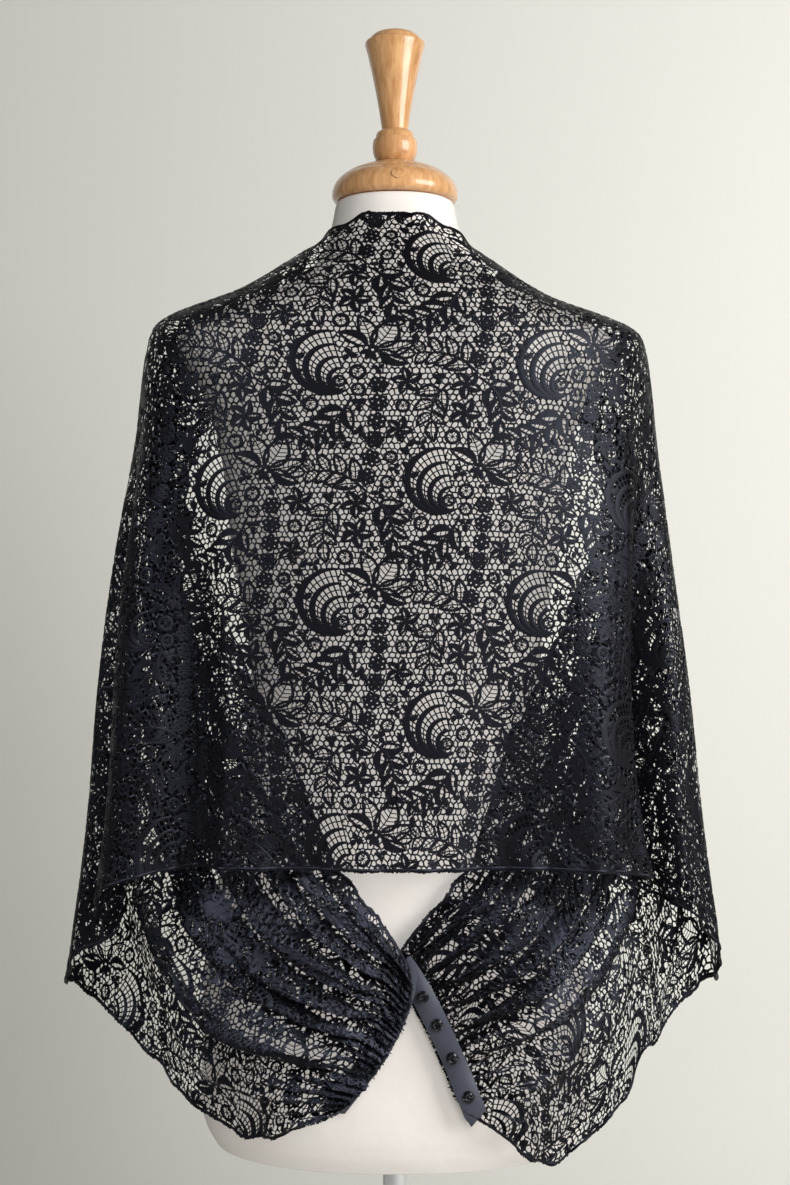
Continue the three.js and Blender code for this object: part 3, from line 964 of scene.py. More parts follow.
@dataclass
class Drape:
    """Shape of the worn shawl: courses of the cloth from the centre back to the gathered ends."""

    width: float = 560.0
    half_length: float = 815.0
    cell: float = 2.0
    power: float = 2.4
    fold_y: float = -3.0
    landing: float = 14.0
    fullness: float = 1.0  # share of its flat width that drawn-in cloth keeps in its pleats
    lean: float = 0.85  # how far the pleats fall over, as a share of their height
    clearance: float = 2.0  # least gap between the middle of the cloth and the form
    fold_blend: float = 90.0  # run past the outer fold over which the pleats set in
    pressed_from: float = 555.0  # height above which the back lies over the pleats
    samples: int = 200
    centre: Table = field(
        default_factory=lambda: Table(
            "b y z",
            [
                (0, -64, 1143), (60, -88, 1089), (120, -106, 1031), (190, -117, 962),
                (280, -124, 872), (370, -129, 782), (460, -134, 692), (560, -140, 591),
            ],
        )
    )
    fold: Table = field(
        default_factory=lambda: Table(
            "b left_x left_z right_x right_z drop",
            [
                (0, 78, 1119, 92, 1100, 2), (60, 136, 1086, 142, 1075, 2.2),
                (120, 216, 1050, 220, 1042, 2.5), (190, 232, 950, 234, 940, 3),
                (280, 251, 840, 247, 838, 4), (370, 264, 735, 257, 738, 5),
                (460, 274, 612, 267, 612, 6), (560, 292, 470, 286, 474, 8),
            ],
        )
    )

    def wrap(self, side: Side) -> Table:
        """Points each course passes after the outer fold.

        Args:
            side: Half of the shawl.

        Returns:
            Table of front, side and back points.
        """
        last = {
            Side.LEFT: (560, 240, -26, 436, 170, -70, 379, 114, -104, 361),
            Side.RIGHT: (560, 240, -28, 442, 212, -56, 398, 134, -94, 338),
        }
        return Table(
            "b front_x front_y front_z side_x side_y side_z back_x back_y back_z",
            [
                (0, 146, 60, 1030, 194, 16, 908, 126, -64, 742),
                (60, 186, 62, 1000, 198, 12, 862, 124, -74, 690),
                (120, 214, 54, 962, 198, 8, 815, 126, -80, 652),
                (190, 226, 52, 884, 196, 2, 765, 132, -82, 612),
                (280, 238, 48, 780, 198, -6, 692, 140, -84, 568),
                (370, 248, 43, 682, 204, -14, 616, 150, -82, 520),
                (460, 261, 34, 566, 218, -26, 528, 166, -72, 458),
                last[side],
            ],
        )

    def hanging_folds(self, side: Side) -> list[dict]:
        """Hanging folds of the back, by place along the course, width and height.

        Args:
            side: Half of the shawl.

        Returns:
            A row for each fold.
        """
        rows = {
            Side.LEFT: [
                (150, 0.62, 0.43, 34, -24), (150, 0.78, 0.59, 46, 20),
                (130, 0.9, 0.77, 30, -40), (300, 0.3, 0.2, 60, -7),
            ],
            Side.RIGHT: [
                (200, 0.6, 0.43, 44, 14), (120, 0.84, 0.63, 34, -50),
                (240, 0.95, 0.84, 40, 8), (300, 0.34, 0.22, 56, -8),
            ],
        }
        return Table("start_b start_at hem_at width height", rows[side]).rows

    def tape_bow(self, side: Side, t: np.ndarray) -> tuple[np.ndarray, np.ndarray, float]:
        """Line of a gathered end in the plane of the back.

        Args:
            side: Half of the shawl.
            t: Share of the line from its top.

        Returns:
            X, Z, and the depth Y of the cloth there.
        """
        top, bow, low, depth = {
            Side.LEFT: ((8, 513), (14, 469), (-54, 390), -137.2),
            Side.RIGHT: ((5, 513), (32, 478), (69, 381), -127.6),
        }[side]
        u = 1 - t
        x, z = (u * u * top[k] + 2 * u * t * bow[k] + t * t * low[k] for k in (0, 1))
        return x, z, depth

    def back_courses(self, side: Side, b: np.ndarray) -> np.ndarray:
        """Courses from the centre back to the outer fold, on the positive side.

        Args:
            side: Half of the shawl.
            b: Place of each course across the cloth.

        Returns:
            Points, a row for each course.
        """
        name = side.name.lower()
        fold_x, fold_z = (self.fold.monotone(f"{name}_{k}", b)[:, None] for k in "xz")
        centre_y, centre_z = (self.centre.monotone(k, b)[:, None] for k in "yz")
        angle = np.linspace(0, np.pi / 2, self.samples + 1)[None, :]
        x = fold_x * np.sin(angle) ** (2 / self.power)
        y = self.fold_y + (centre_y - self.fold_y) * np.maximum(np.cos(angle), 0) ** (2 / self.power)
        z = centre_z + (fold_z - centre_z) * (x / fold_x) ** self.fold.monotone("drop", b)[:, None]
        at = np.linspace(0, 1, self.samples + 1)
        even = self.spaced(np.stack([x, y, z], axis=2), at)[0]
        length = np.linalg.norm(np.diff(even, axis=1), axis=2).sum(axis=1)[:, None]
        along = np.gradient(even, axis=1)
        outward = np.stack([along[:, :, 1], -along[:, :, 0]], axis=2)
        outward /= np.linalg.norm(outward, axis=2, keepdims=True)
        height = np.zeros_like(x)
        for row in self.hanging_folds(side):
            run = np.maximum(b - row["start_b"], 0)[:, None] / (self.width - row["start_b"])
            place = row["start_at"] + (row["hem_at"] - row["start_at"]) * run
            shape = ridge((at[None, :] - place) * length, row["width"])
            height += row["height"] * smooth_step(run * 1.25) * shape
        height *= smooth_step(at * 12) * smooth_step((1 - at) * 12)
        even[:, :, :2] += outward * height[:, :, None]
        return even

    def wrap_courses(self, side: Side, b: np.ndarray) -> np.ndarray:
        """Courses from the outer fold round the sleeve to the gathered end, on the positive side.

        Args:
            side: Half of the shawl.
            b: Place of each course across the cloth.

        Returns:
            Points, a row for each course.
        """
        table, name = self.wrap(side), side.name.lower()
        x, z, depth = self.tape_bow(side, b / self.width)
        end = np.stack([side.value * x, np.full_like(x, depth), z], axis=1)
        fold_x, fold_z = (self.fold.monotone(f"{name}_{axis}", b) for axis in "xz")
        start = np.stack([fold_x, np.full_like(b, self.fold_y), fold_z], axis=1)
        front, flank, back = (
            np.stack([table.monotone(f"{place}_{k}", b) for k in "xyz"], axis=1)
            for place in ("front", "side", "back")
        )
        outward = (back - end) * np.array([1.0, 0.0, 1.0])
        outward /= np.linalg.norm(outward, axis=1, keepdims=True)
        knots = [start, front, flank, back, end + outward * self.landing, end]
        chords = [np.linalg.norm(q - p, axis=1, keepdims=True) for p, q in zip(knots, knots[1:])]
        tangents = [np.broadcast_to(np.array([0.0, 0.9, 0.0]), start.shape)]
        for k in range(1, 4):
            tangents.append((knots[k + 1] - knots[k - 1]) / (chords[k] + chords[k - 1]))
        tangents += [-outward, -outward]
        t = np.linspace(0, 1, self.samples // 5 + 1)[None, :, None]
        u = 1 - t
        spans = []
        for k, chord in enumerate(chords):
            p, q = knots[k][:, None], knots[k + 1][:, None]
            v, w = (tangents[k] * chord)[:, None], (tangents[k + 1] * chord)[:, None]
            span = u * u * (1 + 2 * t) * p + t * t * (3 - 2 * t) * q + u * u * t * v - t * t * u * w
            spans.append(span if k == 0 else span[:, 1:])
        return np.concatenate(spans, axis=1)

    def spaced(self, courses: np.ndarray, shares: np.ndarray) -> tuple[np.ndarray, np.ndarray]:
        """Space points along each course by length.

        Args:
            courses: Points, a row for each course.
            shares: Shares of the length.

        Returns:
            The spaced points, and each course's running length.
        """
        run = np.cumsum(np.linalg.norm(np.diff(courses, axis=1), axis=2), axis=1)
        run = np.concatenate([np.zeros((len(courses), 1)), run], axis=1)
        spaced = np.stack(
            [
                np.stack([np.interp(shares * r[-1], r, course[:, k]) for k in range(3)], axis=1)
                for course, r in zip(courses, run)
            ]
        )
        return spaced, run


@dataclass
class SmallPleats:
    """A row of uneven pleats across the cloth, as a thread draws them up."""

    count: int
    seed: int

    def profile(self, b: np.ndarray, width: float) -> np.ndarray:
        """Height of the pleats at unit slope, none below nought.

        Args:
            b: Places across the cloth.
            width: Width of the cloth.

        Returns:
            Heights at those places.
        """
        random = np.random.default_rng(self.seed)
        steps = random.uniform(0.6, 1.4, self.count)
        knots = np.concatenate([[0], np.cumsum(steps)]) / steps.sum() * width
        phase = np.interp(b, knots, np.arange(self.count + 1))
        size = np.interp(phase, np.arange(self.count + 1), random.uniform(0.7, 1.2, self.count + 1))
        return width / (self.count * np.pi) * size * (0.5 - 0.5 * np.cos(2 * np.pi * phase))


@dataclass(frozen=True)
class PleatRow:
    """The main pleats of one end, as listed: where each begins, and how full it is."""

    starts: tuple[float, ...]
    fullness: tuple[float, ...]

    def profile(self, b: np.ndarray) -> np.ndarray:
        """Height of the pleats at unit slope, none below nought.

        Args:
            b: Places across the cloth.

        Returns:
            Heights at those places.
        """
        starts = np.array(self.starts)
        each = np.clip(np.searchsorted(starts, b, side="right") - 1, 0, len(self.fullness) - 1)
        span = np.diff(starts)[each]
        phase = np.clip((b - starts[each]) / span, 0, 1)
        return np.array(self.fullness)[each] * span / np.pi * (0.5 - 0.5 * np.cos(2 * np.pi * phase))


MAIN_PLEATS = {
    Side.LEFT: PleatRow(
        (0, 34, 92, 160, 232, 305, 372, 456, 560), (0.5, 1.0, 1.05, 1.1, 1.05, 0.9, 1.1, 0.3)
    ),
    Side.RIGHT: PleatRow(
        (0, 40, 100, 165, 235, 300, 364, 440, 560), (0.6, 1.0, 1.1, 1.1, 1.1, 0.95, 0.8, 0.5)
    ),
}


class HalfSurface:
    """One half of the draped shawl as a fine grid of points over the flat cloth."""

    def __init__(self, drape: Drape, side: Side, form: bpy.types.Object) -> None:
        """Work out the grid and its outward normals.

        Args:
            drape: Shape of the worn shawl.
            side: Half of the shawl.
            form: Covered torso that the cloth rests on.
        """
        self.side, self.drape = side, drape
        self.b = np.arange(0, drape.width + drape.cell / 2, drape.cell)
        self.s = np.arange(0, drape.half_length + drape.cell / 2, drape.cell)
        back, wrap = drape.back_courses(side, self.b), drape.wrap_courses(side, self.b)
        courses = np.concatenate([back, wrap[:, 1:]], axis=1)
        grid, run = drape.spaced(courses, self.s / self.s[-1])
        self.fold_at = run[:, back.shape[1] - 1] / run[:, -1] * drape.half_length
        self.stretch = run[:, -1] / drape.half_length
        grid[:, :, 0] *= side.value
        self.points = grid
        self.crease()
        self.even_out()
        self.rest_on(form)
        self.normals = self.outward()

    def outward(self) -> np.ndarray:
        """Unit normals of the right side of the cloth."""
        along = np.gradient(self.points, axis=1) * self.side.value
        across = np.gradient(self.points, axis=0)
        normal = np.cross(across, along)
        return normal / np.maximum(np.linalg.norm(normal, axis=2, keepdims=True), 1e-9)

    def crease(self) -> None:
        """Raise the pleats that the drawn-in cloth needs, and the ripple of the two long edges."""
        right_side = self.outward()
        to_tape = (self.drape.half_length - self.s)[None, :] * self.stretch[:, None]
        past_fold = smooth_step((self.s[None, :] - self.fold_at[:, None]) / self.drape.fold_blend)
        across = np.gradient(self.points, axis=0)
        across /= np.linalg.norm(across, axis=2, keepdims=True)
        height, leaning = self.pleats(to_tape, past_fold)
        leaning += self.edge_stray(to_tape, past_fold)
        self.points += across * leaning[:, :, None]
        self.points -= right_side * (height + self.edge_waves(to_tape))[:, :, None]

    def pleats(self, to_tape: np.ndarray, past_fold: np.ndarray) -> tuple[np.ndarray, np.ndarray]:
        """Work out the pleats: a few broad ones, which give way to many small ones at the tape.

        Args:
            to_tape: Run left to the gathered end.
            past_fold: How far the pleats have set in since the outer fold, from nought to one.

        Returns:
            How far each point rises out of the cloth, and how far it leans across it.
        """
        drape, left = self.drape, self.side is Side.LEFT
        drawn_in = np.linalg.norm(np.gradient(self.points, drape.cell, axis=0), axis=2)
        slope = np.sqrt(2 * np.clip(drape.fullness**2 - drawn_in**2, 0, 1.6)) * past_fold
        broad_share = smooth_step((to_tape - 12) / 120)
        broad = MAIN_PLEATS[self.side].profile(self.b)[:, None]
        middle = SmallPleats(17, 51 if left else 58).profile(self.b, drape.width)[:, None]
        fine = SmallPleats(27, 11 if left else 12).profile(self.b, drape.width)[:, None]
        standing = np.sqrt(broad_share) * slope * smooth_step((to_tape - 6) / 30)
        gathered = np.sqrt(1 - broad_share) * slope
        small = gathered * fine
        if not left:  # the right tape lies outside, so the small pleats under it stand inwards
            small = small * (2 * smooth_step((to_tape - 55) / 50) - 1)
        pressed = smooth_step((self.points[:, :, 2] - drape.pressed_from) / 30)
        height = standing * (0.95 * (broad - 4) + 0.2 * (middle - 2)) + small
        leaning = drape.lean * standing * (1.1 * broad + 0.3 * middle)
        leaning *= ridge(self.b - drape.width / 2, 0.62 * drape.width)[:, None] ** 0.5
        leaning += 1.2 * drape.lean * gathered * (fine - 3)
        return height * (1 - 0.3 * pressed), leaning

    def edge_stray(self, to_tape: np.ndarray, past_fold: np.ndarray) -> np.ndarray:
        """How far the long edges stray across the cloth: parted at the neck, wavy, notched on the right.

        Args:
            to_tape: Run left to the gathered end.
            past_fold: How far the pleats have set in since the outer fold, from nought to one.

        Returns:
            Distances across the cloth.
        """
        left, from_hem = self.side is Side.LEFT, self.drape.width - self.b
        parted = 13.0 if left else 17.0
        stray = parted * ridge(self.b, 150)[:, None] * ridge(to_tape - 100, 100)
        swing = np.sin(self.s / 6.6) + 0.7 * np.sin(self.s / 11.3 + 1)
        edges = ridge(self.b, 40)[:, None] + ridge(from_hem, 40)[:, None]
        stray += 1.5 * edges * swing[None, :] * past_fold * smooth_step((to_tape - 15) / 50)
        if not left:
            stray -= 17 * ridge(from_hem, 70)[:, None] * ridge(to_tape - 208, 26)
        return stray

    def edge_waves(self, to_tape: np.ndarray) -> np.ndarray:
        """How far the long edges wave out of the cloth.

        Args:
            to_tape: Run left to the gathered end.

        Returns:
            Heights out of the cloth.
        """
        waves = sum(
            math.cos(k) * np.sin(2 * np.pi * self.s / wave + 2.3 * k)
            for k, wave in enumerate((31.0, 47.0, 73.0, 118.0))
        )
        fray = ridge(self.b, 26)[:, None] + ridge(self.drape.width - self.b, 30)[:, None]
        clear = smooth_step(to_tape / 60) * smooth_step(self.s / 20)[None, :]
        return 1.6 * fray * waves[None, :] * clear

    def even_out(self) -> None:
        """Share the cloth evenly over its pleats, so that no side of one is stretched."""
        steps = np.linalg.norm(np.diff(self.points, axis=0), axis=2)
        run = np.concatenate([np.zeros((1, len(self.s))), np.cumsum(steps, axis=0)])
        run *= self.drape.width / run[-1]
        shares = smooth_step((self.s - self.fold_at.max()) / self.drape.fold_blend)
        for j in np.flatnonzero(shares > 0):
            column = self.points[:, j].copy()
            at = np.interp(self.b, (1 - shares[j]) * self.b + shares[j] * run[:, j], self.b)
            self.points[:, j] = np.stack([np.interp(at, self.b, column[:, k]) for k in range(3)], axis=1)

    def rest_on(self, form: bpy.types.Object) -> None:
        """Lift the cloth clear of the form wherever it would lie closer than its own thickness.

        Args:
            form: Covered torso that the cloth rests on.
        """
        tree = BVHTree.FromObject(form, bpy.context.evaluated_depsgraph_get())
        for point in self.points.reshape(-1, 3):
            near, normal, _, _ = tree.find_nearest(Vector(point * MM), 0.012)
            if near is not None:
                gap = (Vector(point * MM) - near).dot(normal) / MM
                point += np.array(normal) * max(0.0, self.drape.clearance - gap)

    def place(self, points: np.ndarray) -> np.ndarray:
        """Carry flat points into place.

        Args:
            points: Rows of (a, b, height).

        Returns:
            Rows of (x, y, z) in metres.
        """
        step = self.drape.cell
        i, j = points[:, 1] / step, points[:, 0] * self.side.value / step
        i0 = np.clip(np.floor(i).astype(int), 0, len(self.b) - 2)
        j0 = np.clip(np.floor(j).astype(int), 0, len(self.s) - 2)
        f, g = (i - i0)[:, None], (j - j0)[:, None]

        def mixed(grid: np.ndarray) -> np.ndarray:
            """Value between the four nearest points of a grid."""
            near = grid[i0, j0] * (1 - g) + grid[i0, j0 + 1] * g
            far = grid[i0 + 1, j0] * (1 - g) + grid[i0 + 1, j0 + 1] * g
            return near * (1 - f) + far * f

        return (mixed(self.points) + mixed(self.normals) * points[:, 2:3]) * MM


def rolled_edge(reach: float, b: float, out: float) -> tuple[np.ndarray, np.ndarray]:
    """Overlocked edge of the lace, a thin roll with small loops.

    Args:
        reach: Half the edge's length.
        b: Where the edge lies across the cloth.
        out: Direction out of the cloth, 1 or -1.

    Returns:
        Points and faces.
    """
    a = np.arange(-reach, reach + 1, 3.0)
    loops = 0.8 * np.abs(np.sin(np.pi * a / 11.0)) ** 3 + 0.35 * np.sin(a / 7.3) * np.sin(a / 2.9)
    angle = np.linspace(0, 2 * np.pi, 6, endpoint=False)
    rings = np.stack(
        [
            np.broadcast_to(a[:, None], (len(a), 6)),
            b + out * (0.2 + 1.35 * np.cos(angle)[None, :] + loops[:, None] * (np.cos(angle) > 0.4)),
            np.broadcast_to(1.1 * np.sin(angle)[None, :], (len(a), 6)),
        ],
        axis=2,
    )
    k, m = np.mgrid[0 : len(a) - 1, 0:6]
    n = (m + 1) % 6
    faces = np.stack([k * 6 + m, k * 6 + n, (k + 1) * 6 + n, (k + 1) * 6 + m], axis=2)
    return rings.reshape(-1, 3), faces.reshape(-1, 4)


def mesh_object(
    name: str, points: np.ndarray, faces: np.ndarray, uv: dict[str, np.ndarray]
) -> bpy.types.Object:
    """Make a smooth-shaded object from arrays.

    Args:
        name: Name of the piece.
        points: Rows of (x, y, z) in metres.
        faces: Rows of four indices, the last -1 for a triangle.
        uv: Map name to rows of (u, v), one for each point.

    Returns:
        The new object, linked to the scene.
    """
    sizes = np.where(faces[:, 3] < 0, 3, 4)
    corners = faces[np.arange(4)[None, :] < sizes[:, None]]
    mesh = bpy.data.meshes.new(name)
    mesh.vertices.add(len(points))
    mesh.vertices.foreach_set("co", points.astype(np.float32).ravel())
    mesh.loops.add(len(corners))
    mesh.loops.foreach_set("vertex_index", corners.astype(np.int32))
    mesh.polygons.add(len(faces))
    mesh.polygons.foreach_set("loop_start", np.concatenate([[0], np.cumsum(sizes)[:-1]]).astype(np.int32))
    mesh.polygons.foreach_set("use_smooth", np.ones(len(faces), bool))
    mesh.update(calc_edges=True)
    mesh.validate()
    for layer, values in uv.items():
        mesh.uv_layers.new(name=layer).data.foreach_set("uv", values[corners].astype(np.float32).ravel())
    made = bpy.data.objects.new(name, mesh)
    bpy.context.scene.collection.objects.link(made)
    return made


def settle(piece: bpy.types.Object, material: bpy.types.Material, nodes: list[str]) -> None:
    """Dress a piece and tie it to the part.

    Args:
        piece: The finished object.
        material: Its finish.
        nodes: CAD nodes it stands for.
    """
    piece.data.materials.clear()
    piece.data.materials.append(material)
    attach(piece, "root")
    if nodes:
        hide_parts(*nodes)
    log.info("%s: %d faces", piece.name, len(piece.data.polygons))


@dataclass
class Shawl:
    """The lace rectangle, cut from one length and shown in six stretches."""

    drape: Drape = field(default_factory=Drape)
    header_left: float = 7.0  # lace that stands past the gathering thread
    header_right: float = 10.6

    def flat_lace(self) -> tuple[np.ndarray, np.ndarray]:
        """Net, motifs and edges of the whole cut.

        Returns:
            Points and faces in the flat.
        """
        drape = self.drape
        repeat = LaceRepeat()
        repeat.draw()
        reach = drape.half_length + max(self.header_left, self.header_right)
        whole = FlatMesh()
        whole.add(*LaceNet().mesh(reach, drape.width, repeat))
        whole.add(*repeat.tiled((-reach, 0), (reach, drape.width)))
        for b, out in ((0.0, -1.0), (drape.width, 1.0)):
            whole.add(*rolled_edge(reach, b, out))
        return whole.joined()

    def trimmed(self, points: np.ndarray, faces: np.ndarray) -> tuple[np.ndarray, np.ndarray]:
        """Drop the faces past the cut and turn the others to face out.

        Args:
            points: Flat points of the lace.
            faces: All its faces.

        Returns:
            Faces of the cut, and their flat centres.
        """
        drape, roll = self.drape, 3.0
        triangle = faces[:, 3] < 0
        square = np.column_stack([faces[:, :3], np.where(triangle, faces[:, 2], faces[:, 3])])
        middle, across = points[square].mean(axis=1), points[square][:, :, 1]
        inside = (across.min(axis=1) > -roll) & (across.max(axis=1) < drape.width + roll)
        inside &= middle[:, 0] > -drape.half_length - self.header_left
        inside &= middle[:, 0] < drape.half_length + self.header_right
        faces, square, triangle = faces[inside], square[inside], triangle[inside]
        p, q, r, s = (points[square[:, k], :2] for k in range(4))
        first = np.where(triangle[:, None], q - p, r - p)
        second = np.where(triangle[:, None], r - p, s - q)
        turn = first[:, 0] * second[:, 1] - first[:, 1] * second[:, 0]
        flipped = np.where(triangle[:, None], faces[:, [0, 2, 1, 3]], faces[:, [0, 3, 2, 1]])
        return np.where((turn > 0)[:, None], flipped, faces), middle[inside]

    def build(self, material: bpy.types.Material, form: bpy.types.Object) -> list[bpy.types.Object]:
        """Make the six stretches of lace.

        Args:
            material: Finish of the thread.
            form: Covered torso that the lace rests on.

        Returns:
            The lace objects.
        """
        drape = self.drape
        points, faces = self.flat_lace()
        faces, middle = self.trimmed(points, faces)
        made = []
        for side in Side:
            surface = HalfSurface(drape, side, form)
            ours = (middle[:, 0] * side.value) > 0
            fold = np.interp(middle[:, 1], surface.b, surface.fold_at)
            along = np.abs(middle[:, 0])
            gathered = along > 0.5 * (fold + drape.half_length)
            on_back = along < fold
            header = self.header_left if side is Side.LEFT else self.header_right
            half_wrap = (drape.half_length - surface.fold_at) / 2
            lengths = {"back": surface.fold_at, "sleeve": half_wrap, "fan": half_wrap + header}
            shares = {"back": on_back, "sleeve": ~on_back & ~gathered, "fan": gathered}
            for stretch, share in shares.items():
                chosen = ours & share
                name = f"lace_{stretch}_{side.name.lower()}"
                made.append(self.stretch(name, surface, points, faces[chosen]))
                settle(made[-1], material, self.stands_for(stretch, side))
                self.declare(made[-1], middle[chosen], lengths[stretch].mean() * drape.width, stretch)
        return made

    @staticmethod
    def stands_for(stretch: str, side: Side) -> list[str]:
        """CAD nodes that a stretch stands for."""
        return ["shawl_back"] if stretch == "back" else [f"shawl_wrap_{side.name.lower()}"]

    @staticmethod
    def stretch(name: str, surface: HalfSurface, points: np.ndarray, faces: np.ndarray) -> bpy.types.Object:
        """Make one stretch of draped lace.

        Args:
            name: Name of the piece.
            surface: Half of the drape it lies on.
            points: Flat points of the whole lace.
            faces: The faces of this stretch.

        Returns:
            The new object.
        """
        used, inverse = np.unique(faces[faces >= 0], return_inverse=True)
        local = np.full(faces.shape, -1)
        local[faces >= 0] = inverse
        flat = points[used]
        low, size = flat[:, :2].min(axis=0), np.ptp(flat[:, :2], axis=0).max()
        maps = {"flat": flat[:, :2] * MM, "OFBake": 0.01 + 0.98 * (flat[:, :2] - low) / size}
        return mesh_object(name, surface.place(flat), local, maps)

    @staticmethod
    def declare(piece: bpy.types.Object, middle: np.ndarray, area: float, stretch: str) -> None:
        """Do nothing with a stretch, whose flat cut is slanted along its folds.

        Args:
            piece: The stretch; not used.
            middle: Flat centres of its faces; not used.
            area: Flat area inside its outline, holes of the lace included, in square millimetres; not used.
            stretch: Which stretch it is; not used.
        """


@dataclass
class SnapTapes:
    """The two tapes that close the shawl, with their sew-on snaps; the topmost pair is fastened."""

    drape: Drape = field(default_factory=Drape)
    width: float = 19.0
    wall: float = 1.0
    off_cloth: float = 2.0
    point: float = 8.0
    steps: int = 72
    snaps: int = 5
    first: float = 0.12
    last: float = 0.88
    socket_profile: tuple = (
        (5.0, 0.0), (5.05, 0.35), (4.9, 0.75), (4.5, 0.95), (4.15, 0.85), (3.9, 1.15), (3.55, 1.6),
        (3.1, 1.8), (2.6, 1.75), (2.25, 1.45), (2.1, 0.95), (1.2, 0.75), (0.3, 0.7),
    )
    stud_profile: tuple = (
        (5.0, 0.0), (5.05, 0.3), (4.9, 0.65), (4.4, 0.8), (3.6, 0.85), (2.9, 1.2), (2.2, 1.3),
        (1.75, 1.45), (1.65, 1.7), (1.4, 1.85), (0.9, 1.9), (0.3, 1.9),
    )

    def tape_y(self, side: Side) -> float:
        """Depth of a tape's middle, inside the cloth on the left and outside it on the right."""
        return self.drape.tape_bow(side, np.zeros(1))[2] - side.value * self.off_cloth

    def tape(self, side: Side, material: bpy.types.Material) -> bpy.types.Object:
        """Make one tape as a thin closed strip, a little curled and rippled, its lower end cut to a point.

        Args:
            side: Half of the shawl.
            material: Finish of the tape.

        Returns:
            The tape.
        """
        t = np.linspace(0, 1, self.steps)
        x, z, _ = self.drape.tape_bow(side, t)
        line = np.stack([x, z], axis=1)
        along = np.gradient(line, axis=0)
        step = np.linalg.norm(along, axis=1, keepdims=True)
        along /= step
        across = np.stack([along[:, 1], -along[:, 0]], axis=1)
        run = np.concatenate([[0], np.cumsum(np.linalg.norm(np.diff(line, axis=0), axis=1))])
        shares = np.linspace(-1, 1, 9)
        narrow = np.clip((run[-1] - run) / self.point, 0, 1)[:, None]
        lean = 0.35 * self.width * (1 - narrow)
        offset = 0.5 * self.width * shares[None, :] * np.maximum(narrow, 0.06) + lean
        flat = line[:, None, :] + across[:, None, :] * offset[:, :, None]
        curl = 1.7 * shares[None, :] ** 2 * (1 + 0.5 * np.sin(run / 13)[:, None])
        ripple = 0.3 * np.sin(run / 7.0)[:, None] + 0.9 * shares[None, :] * np.sin(run / 12.0 + 1)[:, None]
        depth = self.tape_y(side) + curl + ripple
        layers = [
            np.stack([flat[:, :, 0], depth + k * self.wall / 2, flat[:, :, 1]], axis=2).reshape(-1, 3)
            for k in (-1, 1)
        ]
        rows, columns = depth.shape
        i, j = np.mgrid[0 : rows - 1, 0 : columns - 1]
        at = (i * columns + j).ravel()
        quads = np.stack([at, at + 1, at + columns + 1, at + columns], axis=1)
        rim = np.concatenate(
            [
                np.arange(columns), (np.arange(1, rows) + 1) * columns - 1,
                rows * columns - 2 - np.arange(columns - 1), (rows - 2 - np.arange(rows - 1)) * columns,
            ]
        )[:-1]
        after = np.roll(rim, -1)
        size = rows * columns
        walls = np.stack([rim, rim + size, after + size, after], axis=1)
        faces = np.concatenate([quads, quads[:, ::-1] + size, walls])
        flat_map = np.stack([np.broadcast_to(run[:, None], depth.shape), offset], axis=2)
        maps = {"flat": np.tile(flat_map.reshape(-1, 2) * MM, (2, 1))}
        made = mesh_object(f"tape_{side.name.lower()}", np.concatenate(layers) * MM, faces, maps)
        select_only(made)
        bpy.ops.object.mode_set(mode="EDIT")
        bpy.ops.mesh.select_all(action="SELECT")
        bpy.ops.mesh.normals_make_consistent(inside=False)
        bpy.ops.object.mode_set(mode="OBJECT")
        bpy.ops.object.shade_smooth_by_angle(angle=math.radians(50))
        settle(made, material, [f"snap_tape_{side.name.lower()}"])
        return made

    def build(self, tape: bpy.types.Material, steel: bpy.types.Material) -> list[bpy.types.Object]:
        """Make both tapes and their snaps.

        Args:
            tape: Finish of the tapes.
            steel: Finish of the snaps.

        Returns:
            The tapes.
        """
        tapes = []
        for side, kind, profile in (
            (Side.LEFT, "snap_stud", self.stud_profile), (Side.RIGHT, "snap_socket", self.socket_profile),
        ):
            tapes.append(self.tape(side, tape))
            facing = 1 if side is Side.LEFT else -1
            pattern = turned(f"{kind}_pattern", profile, 28)
            for k in range(self.snaps):
                t = np.array([self.first + (self.last - self.first) * k / (self.snaps - 1)])
                x, z, _ = self.drape.tape_bow(Side.RIGHT if k == 0 else side, t)
                snap = pattern.copy()
                snap.data = pattern.data.copy()
                snap.name = f"{kind}_{k + 1}_turned"
                bpy.context.scene.collection.objects.link(snap)
                y = self.tape_y(side) + facing * (self.wall / 2 + 0.45)
                snap.rotation_euler = (-facing * math.pi / 2, 0.0, 0.0)
                snap.location = (float(x[0]) * MM, y * MM, float(z[0]) * MM)
                select_only(snap)
                bpy.ops.object.transform_apply(location=True, rotation=True, scale=True)
                settle(snap, steel, [f"{kind}_{k + 1}"])
            bpy.data.objects.remove(pattern)
        return tapes


